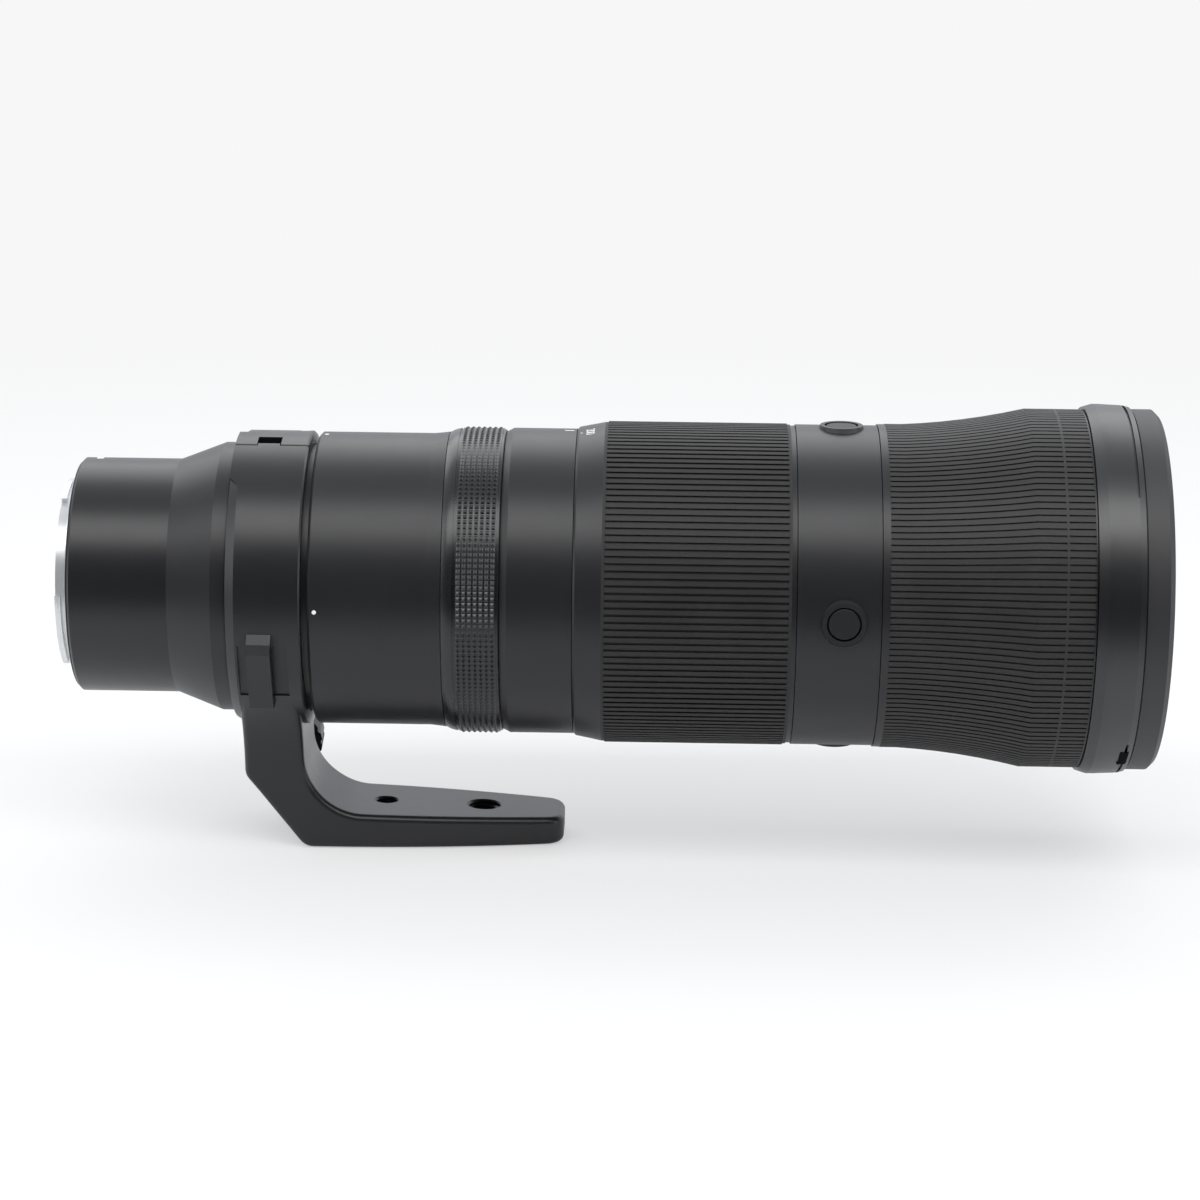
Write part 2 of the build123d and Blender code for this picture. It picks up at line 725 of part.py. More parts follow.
blend_radius = collar_radius + lug_blend
lug_face = run_gap + lug_plate
blend_x = sqrt(blend_radius ** 2 - (lug_face + lug_blend) ** 2)
ring_touch = (blend_x * collar_radius / blend_radius, (lug_face + lug_blend) * collar_radius / blend_radius)
with BuildPart() as collar_strap:
    collar_disc()
    ring(x_ring, x_ring + ring_chamfer_run, collar_bore, collar_radius, ledge_rear_angle,
         hinge_angle - ledge_rear_angle)
    collar_cavity()
    slab(across(x_ring - overrun, clamp_angle), (0, run_gap), (collar_reach, -collar_reach),
         ring_width + 2 * overrun, mode=Mode.SUBTRACT)
    slab(across(x_ring - overrun, clamp_angle), (0, 0), (-collar_reach, -collar_reach),
         ring_width + 2 * overrun, mode=Mode.SUBTRACT)
    with BuildSketch(across(x_clamp - lug_plate_width / 2, clamp_angle)) as lug:
        with BuildLine():
            Polyline(
                ring_touch, (hinge_radius * cos(radians(hinge_angle)), lug_face), (hinge_radius, run_gap),
                (clamp_reach + clamp_end, run_gap), (clamp_reach + clamp_end, lug_face),
                (blend_x, lug_face),
            )
            RadiusArc((blend_x, lug_face), ring_touch, lug_blend)
        make_face()
    extrude(lug.sketch, amount=lug_plate_width)
    fillet(collar_strap.edges().filter_by(Axis((0, 0, 0), across(0, clamp_angle).y_dir))
           .sort_by(Axis((0, 0, 0), across(0, clamp_angle).x_dir))[-2:], lug_plate_corner)
    with Locations(across(x_ring, hinge_angle).location):
        with Locations((hinge_radius, 0, ring_width / 2)):
            Cylinder(knuckle, ring_width)
    slab(across(tab_rear - run_gap, hinge_angle), (hinge_radius - 2 * knuckle, knuckle + overrun),
         (hinge_radius + 2 * knuckle, -notch_reach), tab_width + 2 * run_gap, mode=Mode.SUBTRACT)
    with Locations(across(x_ring, hinge_angle).location):
        with Locations((hinge_radius, 0, ring_width / 2)):
            Cylinder(hinge_pin_radius + fit, ring_width, mode=Mode.SUBTRACT)
    with Locations(outward(x_clamp, clamp_angle + 90, 0).location):
        with Locations((0, clamp_reach, 0)):
            Cylinder(clamp_shank_radius + clamp_shank_play, 3 * lug_face, mode=Mode.SUBTRACT)
collar_strap.part.label = "collar_strap"
export_step(collar_strap.part, "parts/collar_strap.step")

with BuildPart() as collar_hinge_pin:
    with Locations(across(x_ring, hinge_angle).location):
        with Locations((hinge_radius, 0, ring_width / 2)):
            Cylinder(hinge_pin_radius, ring_width - 2 * hinge_pin_inset)
collar_hinge_pin.part.label = "collar_hinge_pin"
export_step(collar_hinge_pin.part, "parts/collar_hinge_pin.step")

# Clamp: a scalloped knob on a shouldered screw, outside the strap's lug.
clamp_plane = outward(x_clamp, clamp_angle + 90, 0)
knob_seat = lug_face + run_gap
knob_face = knob_seat + knob_thickness
clamp_depth = knob_face - knob_cap + clamp_engagement
with BuildPart() as clamp_screw:
    with Locations(clamp_plane.location):
        with Locations((0, clamp_reach, clamp_depth / 2 - clamp_engagement)):
            Cylinder(clamp_shank_radius, clamp_depth)
clamp_screw.part.label = "clamp_screw"
export_step(clamp_screw.part, "parts/clamp_screw.step")

with BuildPart() as clamp_knob:
    with Locations(clamp_plane.location):
        with Locations((0, clamp_reach, knob_seat + knob_thickness / 2)):
            Cylinder(knob_radius, knob_thickness)
    fillet(clamp_knob.edges().sort_by(Axis((0, 0, 0), clamp_plane.z_dir))[-1], knob_edge)
    with Locations(clamp_plane.location):
        with Locations((0, clamp_reach, knob_seat + knob_thickness / 2)):
            with PolarLocations(knob_radius + scallop_radius / 2, knob_scallops):
                Cylinder(scallop_radius, knob_thickness, mode=Mode.SUBTRACT)
        with Locations((0, clamp_reach, knob_seat)):
            Cylinder(clamp_shank_radius + fit, 2 * (knob_thickness - knob_cap), mode=Mode.SUBTRACT)
clamp_knob.part.label = "clamp_knob"
export_step(clamp_knob.part, "parts/clamp_knob.step")

# Switch panel on the far side of the main barrel, with two sliding switches.
x_panel = x_main + panel_inset
panel_middle = x_panel + panel_length / 2
panel_face = main_radius + panel_proud
switch_floor = panel_face - switch_pocket_depth
switch_places = {
    "focus_mode_switch": panel_middle - switch_pitch / 2,
    "focus_limit_switch": panel_middle + switch_pitch / 2,
}
with BuildPart() as switch_panel:
    with BuildSketch(outward(panel_middle, panel_angle, main_radius - wall)) as panel_outline:
        RectangleRounded(panel_length, 2 * panel_half, panel_corner)
    extrude(panel_outline.sketch, amount=panel_proud + wall)
    ring(x_panel - overrun, x_panel + panel_length + overrun, 0, main_radius + fit, mode=Mode.SUBTRACT)
    for x_switch in switch_places.values():
        slab(outward(x_switch, panel_angle, switch_floor),
             (-switch_pocket_wide / 2, -switch_pocket_long / 2),
             (switch_pocket_wide / 2, switch_pocket_long / 2), panel_proud, mode=Mode.SUBTRACT)
switch_panel.part.label = "switch_panel"
export_step(switch_panel.part, "parts/switch_panel.step")

for name, x_switch in switch_places.items():
    base = outward(x_switch, panel_angle, switch_floor + switch_gap)
    crest = outward(x_switch, panel_angle, switch_floor + switch_gap + switch_tall - switch_ridge)
    with BuildPart() as switch:
        slab(base, (-switch_wide / 2, switch_travel / 2 - switch_long / 2),
             (switch_wide / 2, switch_travel / 2 + switch_long / 2), switch_tall)
        for step in (-1, 0, 1):
            middle = switch_travel / 2 + step * switch_ridge_pitch
            slab(crest, (-switch_wide, middle - switch_ridge / 2), (switch_wide, middle + switch_ridge / 2),
                 switch_tall, mode=Mode.SUBTRACT)
    switch.part.label = name
    export_step(switch.part, f"parts/{name}.step")

# Control ring: a smooth band, a groove, the knurl and a plain end.
x_turn = x_control + seam
x_knurl = x_turn + control_band + control_groove
crest = spigot_radius + control_crest
with BuildPart() as control_ring:
    turned([
        (x_turn, turn_bore), (x_turn, spigot_radius + control_band_rise),
        (x_turn + control_band, crest - control_band_drop),
        (x_turn + control_band, crest - control_groove_drop), (x_knurl, crest - control_groove_drop),
        (x_knurl, crest), (x_knurl + control_knurl, crest),
        (x_knurl + control_knurl, crest - control_end_drop),
        (x_turn + control_width, crest - control_end_drop), (x_turn + control_width, turn_bore),
    ])
control_ring.part.label = "control_ring"
export_step(control_ring.part, "parts/control_ring.step")

with BuildPart() as scale_barrel:
    turned([
        (x_scale, spigot_radius + fit), (x_scale, scale_radius - scale_edge),
        (x_scale + scale_edge_run, scale_radius), (x_zoom, scale_radius), (x_zoom, spigot_radius + fit),
    ])
scale_barrel.part.label = "scale_barrel"
export_step(scale_barrel.part, "parts/scale_barrel.step")

# Zoom ring: cone, grip seat and front band, with a web that drives the cam tube.
x_zoom_rear = x_zoom + seam
x_zoom_front = x_button - seam
x_grip = x_zoom_rear + zoom_cone
x_grip_end = x_zoom_front - zoom_band
x_web = x_button - zoom_web_inset
zoom_bore = grip_seat - zoom_shell
with BuildPart() as zoom_ring:
    turned([
        (x_zoom_rear, turn_bore), (x_zoom_rear, scale_radius),
        (x_zoom_rear + zoom_cone_step, scale_radius + zoom_cone_step),
        (x_grip, zoom_radius), (x_grip, grip_seat),
        (x_grip_end, grip_seat), (x_grip_end, zoom_radius - zoom_band_drop),
        (x_zoom_front, zoom_radius - zoom_band_drop), (x_zoom_front, zoom_bore),
        (x_web + zoom_web, zoom_bore), (x_web + zoom_web, cam_radius + fit), (x_web, cam_radius + fit),
        (x_web, zoom_bore), (x_zoom_rear + zoom_land, zoom_bore), (x_zoom_rear + zoom_land, turn_bore),
    ])
zoom_ring.part.label = "zoom_ring"
export_step(zoom_ring.part, "parts/zoom_ring.step")

grip_radius = grip_seat + zoom_grip_thickness
with BuildPart() as zoom_grip:
    ribbed(Plane.YZ.offset(x_grip + grip_end), x_grip_end - x_grip - 2 * grip_end, grip_seat + fit,
           grip_radius - zoom_rib_depth, grip_radius, zoom_ribs, zoom_ridge_share)
    ring(x_grip, x_grip + grip_end, grip_seat + fit, grip_radius - zoom_rib_depth / 2)
    ring(x_grip_end - grip_end, x_grip_end, grip_seat + fit, grip_radius - zoom_rib_depth / 2)
zoom_grip.part.label = "zoom_grip"
export_step(zoom_grip.part, "parts/zoom_grip.step")

# Cam tube: three curved slots for each moving group.
cam_mid = (cam_bore + cam_radius) / 2
pin_room = cam_pin_radius + cam_pin_play
x_variator = x_button - variator_inset
x_compensator = x_button - compensator_inset


def cam_slots(x_start, travel, angle):
    # Curved slots cut along a helix that runs on past the travel by the pin's room.
    course_length = sqrt(travel ** 2 + (cam_mid * radians(zoom_turn)) ** 2)
    run_on = pin_room / course_length
    height = travel * (1 + 2 * run_on)
    with BuildLine() as course:
        Helix(travel * 360 / zoom_turn, height, cam_mid, (x_start - run_on * travel, 0, 0), (1, 0, 0),
              lefthand=True)
    start = course.line @ 0
    with BuildSketch(Plane(start, x_dir=(0, start.Y, start.Z), z_dir=course.line % 0)) as section:
        Rectangle(2 * cam_wall, 2 * pin_room)
    cutter = sweep(section.sketch, path=course.line, is_frenet=True, mode=Mode.PRIVATE)
    turn = angle + run_on * zoom_turn - degrees(atan2(-start.Y, start.Z))
    for n in range(cam_pin_count):
        add(cutter.rotate(Axis.X, turn + 360 * n / cam_pin_count), mode=Mode.SUBTRACT)


with BuildPart() as cam_tube:
    ring(x_cam, x_cam + cam_length, cam_bore, cam_radius)
    cam_slots(x_variator, variator_travel, variator_pin_angle)
    cam_slots(x_compensator, compensator_travel, compensator_pin_angle)
cam_tube.part.label = "cam_tube"
export_step(cam_tube.part, "parts/cam_tube.step")

# Guide tube: straight slots, a rear flange in the main barrel, a front flange that
# carries the front half of the lens, and an inner lip for the stabiliser.
x_lip = x_joint + stabiliser_inset
with BuildPart() as guide_tube:
    turned([
        (x_joint, guide_bore), (x_joint, main_bore - fit), (x_joint + joint_flange, main_bore - fit),
        (x_joint + joint_flange, guide_radius), (x_button, guide_radius), (x_button, button_bore - fit),
        (x_stack, button_bore - fit), (x_stack, guide_bore), (x_lip + stabiliser_plate, guide_bore),
        (x_lip + stabiliser_plate, stabiliser_bore), (x_lip, stabiliser_bore), (x_lip, guide_bore),
    ])
    for x_pin, travel, first in ((x_variator, variator_travel, variator_pin_angle),
                                 (x_compensator, compensator_travel, compensator_pin_angle)):
        for n in range(cam_pin_count):
            with BuildSketch(outward(x_pin + travel / 2, first + 360 * n / cam_pin_count,
                                     guide_bore - overrun)) as slot:
                SlotOverall(travel + 2 * pin_room, 2 * pin_room)
            extrude(slot.sketch, amount=wall + 2 * overrun, mode=Mode.SUBTRACT)
guide_tube.part.label = "guide_tube"
export_step(guide_tube.part, "parts/guide_tube.step")


def lens_cell(rear, length, radius, glass_radius):
    # A cell whose rear lip seats one lens.
    turned([
        (rear, glass_radius - zoom_lip), (rear, radius), (rear + length, radius),
        (rear + length, glass_radius + fit), (rear + cell_lip, glass_radius + fit),
        (rear + cell_lip, glass_radius - zoom_lip),
    ])


# Variator and compensator: each cell slides in the guide tube on three pins.
carriage_radius = guide_bore - run_gap
pin_root = carriage_radius - overrun
pin_tip = cam_radius - seam
for name, x_pin, first in (("variator", x_variator, variator_pin_angle),
                           ("compensator", x_compensator, compensator_pin_angle)):
    x_cell = x_pin - cell_length / 2
    with BuildPart() as cell:
        lens_cell(x_cell, cell_length, carriage_radius, zoom_glass_radius)
        for n in range(cam_pin_count):
            peg(outward(x_pin, first + 360 * n / cam_pin_count, pin_root), cam_pin_radius, pin_tip - pin_root)
    cell.part.label = f"{name}_cell"
    export_step(cell.part, f"parts/{name}_cell.step")
    with BuildPart() as lens:
        glass(x_cell + cell_lip, zoom_glass_edge, zoom_glass_radius, zoom_glass_sag, -zoom_glass_sag / 2)
    lens.part.label = f"{name}_lens"
    export_step(lens.part, f"parts/{name}_lens.step")

# Stabiliser: a frame that slides sideways on the lip, and a cell that slides up and
# down on the frame.
x_frame = x_lip + stabiliser_plate + run_gap
x_stable = x_frame + stabiliser_plate + run_gap
with BuildPart() as stabiliser_frame:
    ring(x_frame, x_frame + stabiliser_plate, stabiliser_bore, stabiliser_frame_radius)
stabiliser_frame.part.label = "stabiliser_frame"
export_step(stabiliser_frame.part, "parts/stabiliser_frame.step")

with BuildPart() as stabiliser_cell:
    lens_cell(x_stable, stabiliser_cell_length, stabiliser_cell_radius, stabiliser_glass_radius)
stabiliser_cell.part.label = "stabiliser_cell"
export_step(stabiliser_cell.part, "parts/stabiliser_cell.step")

with BuildPart() as stabiliser_lens:
    glass(x_stable + cell_lip, zoom_glass_edge, stabiliser_glass_radius, stabiliser_glass_sag,
          -stabiliser_glass_sag)
stabiliser_lens.part.label = "stabiliser_lens"
export_step(stabiliser_lens.part, "parts/stabiliser_lens.step")

# Iris: nine thin blades, each in its own layer, on pivots in the housing and with a
# drive pin in a slot of the turning ring.
x_iris = x_joint + iris_inset
iris_room = guide_bore - fit - iris_rim
blade_pitch = blade_thickness + blade_gap
x_blades = x_iris + iris_plate + run_gap
x_iris_ring = x_blades + blade_count * blade_pitch + run_gap
iris_ring_front = x_iris_ring + iris_ring_thickness
blade_places = [360 * n / blade_count for n in range(blade_count)]
half_turn = radians(blade_turn / 2)
drive_x = blade_pivot + blade_arm * cos(half_turn)
drive_y = -blade_arm * sin(half_turn)
drive_angle = degrees(atan2(drive_y, drive_x))
with BuildPart() as iris_housing:
    turned([
        (x_iris, iris_open), (x_iris, guide_bore - fit), (x_iris + iris_depth, guide_bore - fit),
        (x_iris + iris_depth, iris_room), (x_iris + iris_plate, iris_room), (x_iris + iris_plate, iris_open),
    ])
    for angle in blade_places:
        with Locations(across(x_iris + iris_plate / 2, angle).location):
            with Locations((blade_pivot, 0, 0)):
                Cylinder(blade_pin_radius + fit, iris_plate, mode=Mode.SUBTRACT)
iris_housing.part.label = "iris_housing"
export_step(iris_housing.part, "parts/iris_housing.step")

with BuildPart() as iris_ring:
    ring(x_iris_ring, iris_ring_front, iris_open, iris_room - run_gap)
    slot_reach = blade_pivot + blade_arm - drive_x
    for angle in blade_places:
        with BuildSketch(across(x_iris_ring, angle + drive_angle)) as slot:
            with Locations(((drive_x + blade_pivot + blade_arm) / 2, 0)):
                SlotOverall(slot_reach + 2 * (blade_pin_radius + blade_pin_play + fit),
                            2 * (blade_pin_radius + blade_pin_play))
        extrude(slot.sketch, amount=iris_ring_thickness, mode=Mode.SUBTRACT)
iris_ring.part.label = "iris_ring"
export_step(iris_ring.part, "parts/iris_ring.step")

blade_outer = iris_open + blade_margin + blade_width
for n, angle in enumerate(blade_places):
    x_blade = x_blades + n * blade_pitch
    with BuildPart() as blade:
        with BuildSketch(across(x_blade, angle)):
            Circle(blade_outer)
            Circle(iris_open + blade_margin, mode=Mode.SUBTRACT)
            with BuildLine():
                reach = Vector(2 * blade_outer, 0)
                Polyline((0, 0), (2 * blade_outer, -blade_tab), reach.rotate(Axis.Z, blade_arc / 2),
                         reach.rotate(Axis.Z, blade_arc), close=True)
            make_face(mode=Mode.INTERSECT)
            with Locations(((blade_pivot + blade_outer - blade_tab) / 2, 0)):
                Rectangle(blade_pivot - blade_outer + blade_tab, 2 * blade_tab)
            with Locations((blade_pivot, 0), (drive_x, drive_y)):
                Circle(blade_tab)
            with Locations(((blade_pivot + drive_x) / 2, drive_y / 2)):
                Rectangle(blade_arm, 2 * blade_pin_radius, rotation=-blade_turn / 2)
        extrude(amount=blade_thickness)
        pivot_length = x_blade - x_iris - run_gap
        drive_length = iris_ring_front - x_blade
        with Locations(across(x_blade, angle).location):
            with Locations((blade_pivot, 0, (blade_thickness - pivot_length) / 2)):
                Cylinder(blade_pin_radius, pivot_length + blade_thickness)
            with Locations((drive_x, drive_y, drive_length / 2)):
                Cylinder(blade_pin_radius, drive_length)
    blade.part.label = f"iris_blade_{n + 1}"
    export_step(blade.part, f"parts/iris_blade_{n + 1}.step")

# Rear tube: seats the rear element and guides the focus cell, with a slot for its arm.
x_focus_cell = x_joint - focus_inset
x_arm = x_focus_cell + cell_length / 2
arm_swing = focus_arm_length / 2 + focus_travel
x_rear_glass = wall_front + rear_glass_inset
arm_half = focus_arm_width / 2
with BuildPart() as rear_tube:
    turned([
        (wall_front, rear_bore), (wall_front, rear_radius), (x_joint - joint_flange, rear_radius),
        (x_joint - joint_flange, main_bore - fit), (x_joint, main_bore - fit), (x_joint, rear_bore),
        (x_rear_glass, rear_bore), (x_rear_glass, rear_bore - rear_lip),
        (x_rear_glass - rear_lip_thickness, rear_bore - rear_lip),
        (x_rear_glass - rear_lip_thickness, rear_bore),
    ])
    slab(outward(x_arm, 0, rear_bore - wall), (-arm_swing - run_gap, -arm_half - run_gap),
         (arm_swing + run_gap, arm_half + run_gap), 2 * wall + overrun, mode=Mode.SUBTRACT)
    with Locations(across(x_joint, 0).location):
        with Locations((screw_axis, 0, 0)):
            Cylinder(lead_screw_radius + fit, 2 * joint_flange + overrun, mode=Mode.SUBTRACT)
rear_tube.part.label = "rear_tube"
export_step(rear_tube.part, "parts/rear_tube.step")

with BuildPart() as rear_element:
    glass(x_rear_glass, rear_glass_edge, rear_bore - fit, rear_glass_sag, -rear_glass_sag / 2)
rear_element.part.label = "rear_element"
export_step(rear_element.part, "parts/rear_element.step")

with BuildPart() as focus_cell:
    lens_cell(x_focus_cell, cell_length, rear_bore - run_gap, focus_glass_radius)
    slab(outward(x_arm, 0, rear_bore - wall), (-focus_arm_length / 2, -arm_half),
         (focus_arm_length / 2, arm_half), screw_axis + focus_arm_reach - rear_bore + wall)
    with Locations(across(x_arm, 0).location):
        with Locations((screw_axis, 0, 0)):
            Cylinder(lead_screw_radius + fit, focus_arm_length + overrun, mode=Mode.SUBTRACT)
focus_cell.part.label = "focus_cell"
export_step(focus_cell.part, "parts/focus_cell.step")

with BuildPart() as focus_lens:
    glass(x_focus_cell + cell_lip, zoom_glass_edge, focus_glass_radius, zoom_glass_sag / 2,
          -zoom_glass_sag / 2)
focus_lens.part.label = "focus_lens"
export_step(focus_lens.part, "parts/focus_lens.step")

# Focus motor and its lead screw, which turns in the flange of the rear tube.
motor_front = x_arm - arm_swing - 2 * run_gap
with BuildPart() as focus_motor:
    with Locations(across(motor_front - motor_length / 2, 0).location):
        with Locations((screw_axis, 0, 0)):
            Cylinder(motor_radius, motor_length)
focus_motor.part.label = "focus_motor"
export_step(focus_motor.part, "parts/focus_motor.step")

screw_rear = motor_front + motor_gap
with BuildPart() as lead_screw:
    with Locations(across((screw_rear + x_joint - motor_gap) / 2, 0).location):
        with Locations((screw_axis, 0, 0)):
            Cylinder(lead_screw_radius, x_joint - motor_gap - screw_rear)
lead_screw.part.label = "lead_screw"
export_step(lead_screw.part, "parts/lead_screw.step")

# Button barrel: four raised bosses with a round hole each.
x_boss = x_button + button_inset
button_places = {"top": 0, "near": 90, "bottom": 180, "far": 270}
with BuildPart() as button_barrel:
    turned([
        (x_button, button_bore), (x_button, button_barrel_radius), (x_focus, button_barrel_radius),
        (x_focus, front_tube_radius + fit), (x_focus - barrel_lip, front_tube_radius + fit),
        (x_focus - barrel_lip, button_bore),
    ])
    for angle in button_places.values():
        with BuildSketch(outward(x_boss, angle, button_barrel_radius - boss_root)) as boss:
            Circle(boss_radius)
        extrude(boss.sketch, amount=boss_rise + boss_root,
                taper=degrees(atan2(boss_taper, boss_rise + boss_root)))
        peg(outward(x_boss, angle, button_bore - overrun), button_hole, button_wall + boss_rise + 2 * overrun,
            mode=Mode.SUBTRACT)
        peg(outward(x_boss, angle, button_bore - overrun), button_pocket, overrun + button_pocket_depth,
            mode=Mode.SUBTRACT)
button_barrel.part.label = "button_barrel"
export_step(button_barrel.part, "parts/button_barrel.step")

flange_top = button_bore + button_pocket_depth - seam
for place, angle in button_places.items():
    with BuildPart() as button:
        peg(outward(x_boss, angle, flange_top - button_flange_thick), button_radius,
            boss_plane - button_recess - flange_top + button_flange_thick)
        outer_edge = button.edges().sort_by(Axis((0, 0, 0), outward(0, angle, 0).z_dir))[-1]
        fillet(outer_edge, button_edge)
        peg(outward(x_boss, angle, flange_top - button_flange_thick), button_flange, button_flange_thick)
    button.part.label = f"function_button_{place}"
    export_step(button.part, f"parts/function_button_{place}.step")

# Front tube, focus ring and focus grip share one flare.
x_ring_rear = x_focus + seam
x_ring_front = x_front - seam
x_flare = x_ring_rear + flare_inset
x_cone = x_flare + tube_cone_share * flare_run
x_cone_end = x_flare + flare_run
x_cell_flange = x_front + front_tube_overlap


def flare(height):
    # The outside of the focus ring, raised by a height.
    points = []
    for step in range(flare_steps + 1):
        share = step / flare_steps
        rise = flare_slope_share * share + (1 - flare_slope_share) * share ** 2
        points.append((x_flare + share * flare_run, focus_rear + height + rise * (focus_front - focus_rear)))
    return points


with BuildPart() as front_tube:
    turned([
        (x_stack, guide_bore), (x_stack, front_tube_radius), (x_cone, front_tube_radius),
        (x_cone_end, front_tube_front), (x_cell_flange, front_tube_front), (x_cell_flange, front_tube_bore),
        (x_cone_end, front_tube_bore), (x_cone, front_tube_radius - wall),
        (x_stack + wall, front_tube_radius - wall), (x_stack + wall, guide_bore),
    ])
front_tube.part.label = "front_tube"
export_step(front_tube.part, "parts/front_tube.step")

band_rear = focus_rear + focus_grip_thickness - focus_band_drop
band_front = focus_front + focus_grip_thickness - focus_band_drop
x_focus_grip = x_ring_rear + focus_band
x_focus_grip_end = x_ring_front - focus_end
with BuildPart() as focus_ring:
    turned([
        (x_ring_rear, focus_bore), (x_ring_rear, band_rear), (x_focus_grip, band_rear),
        (x_focus_grip, focus_rear), *flare(0), (x_focus_grip_end, focus_front),
        (x_focus_grip_end, band_front),
        (x_ring_front, band_front), (x_ring_front, focus_front_bore), (x_cone_end, focus_front_bore),
        (x_cone, focus_bore),
    ])
focus_ring.part.label = "focus_ring"
export_step(focus_ring.part, "parts/focus_ring.step")


def sleeve(height):
    seat = [(x_focus_grip_end, focus_front + fit), *reversed(flare(fit)), (x_focus_grip, focus_rear + fit)]
    skin = [(x_focus_grip, focus_rear + height), *flare(height), (x_focus_grip_end, focus_front + height)]
    return skin + seat


with BuildPart() as focus_grip:
    ribbed(Plane.YZ.offset(x_focus_grip), x_focus_grip_end - x_focus_grip, focus_rear,
           focus_rear + focus_grip_thickness - focus_rib_depth, focus_front + focus_grip_thickness + overrun,
           focus_ribs, focus_ridge_share)
    turned(sleeve(focus_grip_thickness), mode=Mode.INTERSECT)
    turned(sleeve(focus_grip_thickness - focus_rib_depth))
focus_grip.part.label = "focus_grip"
export_step(focus_grip.part, "parts/focus_grip.step")

# Front cell with its two elements, front barrel with the hood grooves, and the rim
# that holds the filter thread.
x_glass = x_end - front_glass_inset - front_glass_sag - front_glass_edge
x_second = x_glass - second_glass_step
second_room = x_second + second_glass_edge + overrun
with BuildPart() as front_cell:
    turned([
        (x_second - cell_lip, front_cell_radius), (x_cell_flange, front_cell_radius),
        (x_cell_flange, front_tube_front), (x_cell_flange + cell_flange, front_tube_front),
        (x_cell_flange + cell_flange, front_cell_radius), (x_rim - seam, front_cell_radius),
        (x_rim - seam, front_glass_radius + fit), (x_glass, front_glass_radius + fit),
        (x_glass, front_glass_radius - front_cell_lip), (second_room, front_glass_radius - front_cell_lip),
        (second_room, second_glass_radius + fit), (x_second, second_glass_radius + fit),
        (x_second, second_glass_radius - cell_lip), (x_second - cell_lip, second_glass_radius - cell_lip),
    ])
front_cell.part.label = "front_cell"
export_step(front_cell.part, "parts/front_cell.step")

with BuildPart() as front_element:
    glass(x_glass, front_glass_edge, front_glass_radius, front_glass_sag, front_glass_hollow)
front_element.part.label = "front_element"
export_step(front_element.part, "parts/front_element.step")

with BuildPart() as second_element:
    glass(x_second, second_glass_edge, second_glass_radius, second_glass_sag, -second_glass_sag)
second_element.part.label = "second_element"
export_step(second_element.part, "parts/second_element.step")

x_groove = x_rim - hood_groove_inset
groove_floor = front_barrel_radius - front_barrel_front_drop - hood_groove_depth
with BuildPart() as front_barrel:
    turned([
        (x_front, front_barrel_bore), (x_front, front_barrel_radius - front_barrel_rear_drop),
        (x_front + front_barrel_edge, front_barrel_radius),
        (x_front + front_barrel_flat, front_barrel_radius),
        (x_rim - front_barrel_chamfer, front_barrel_radius - front_barrel_front_drop),
        (x_rim, front_barrel_radius - front_barrel_end_drop), (x_rim, front_cell_radius + fit),
        (x_cell_flange + cell_flange, front_cell_radius + fit),
        (x_cell_flange + cell_flange, front_barrel_bore),
    ])
    for middle in (0, 180):
        ring(x_groove, x_groove + hood_groove_width, groove_floor, front_barrel_radius + overrun,
             middle - hood_groove_arc / 2, hood_groove_arc, Mode.SUBTRACT)
    peg(outward(x_groove, hood_notch_angle, front_barrel_radius - hood_notch_depth), hood_notch_radius,
        hood_notch_depth + overrun, mode=Mode.SUBTRACT)
front_barrel.part.label = "front_barrel"
export_step(front_barrel.part, "parts/front_barrel.step")

with BuildPart() as front_rim:
    turned([
        (x_rim, thread_radius - rim_lip - rim_bevel), (x_rim, rim_radius - rim_seam_depth),
        (x_rim + rim_seam, rim_radius - rim_seam_depth), (x_rim + rim_seam, rim_radius),
        (x_end - rim_edge, rim_radius),
        (x_end, rim_radius - rim_edge), (x_end, thread_radius), (x_end - thread_depth, thread_radius),
        (x_end - thread_depth, thread_radius - rim_lip),
    ])
front_rim.part.label = "front_rim"
export_step(front_rim.part, "parts/front_rim.step")
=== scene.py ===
import bpy
import json
from math import cos, degrees, pi, radians, sin
from mathutils import Euler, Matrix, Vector


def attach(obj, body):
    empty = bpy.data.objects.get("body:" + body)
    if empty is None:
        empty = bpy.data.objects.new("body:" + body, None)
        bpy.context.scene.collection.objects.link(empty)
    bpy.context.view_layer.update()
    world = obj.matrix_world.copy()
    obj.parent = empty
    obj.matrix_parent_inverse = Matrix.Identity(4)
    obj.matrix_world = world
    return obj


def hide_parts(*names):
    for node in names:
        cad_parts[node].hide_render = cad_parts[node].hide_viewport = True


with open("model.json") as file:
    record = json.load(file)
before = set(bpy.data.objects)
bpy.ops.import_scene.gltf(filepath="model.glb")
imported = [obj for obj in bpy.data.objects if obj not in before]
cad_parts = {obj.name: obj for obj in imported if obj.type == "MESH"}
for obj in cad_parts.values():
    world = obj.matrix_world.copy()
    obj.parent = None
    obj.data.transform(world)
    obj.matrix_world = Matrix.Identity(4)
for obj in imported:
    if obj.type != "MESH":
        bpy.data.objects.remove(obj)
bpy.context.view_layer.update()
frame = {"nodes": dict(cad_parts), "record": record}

scene = bpy.context.scene
mm = 0.001


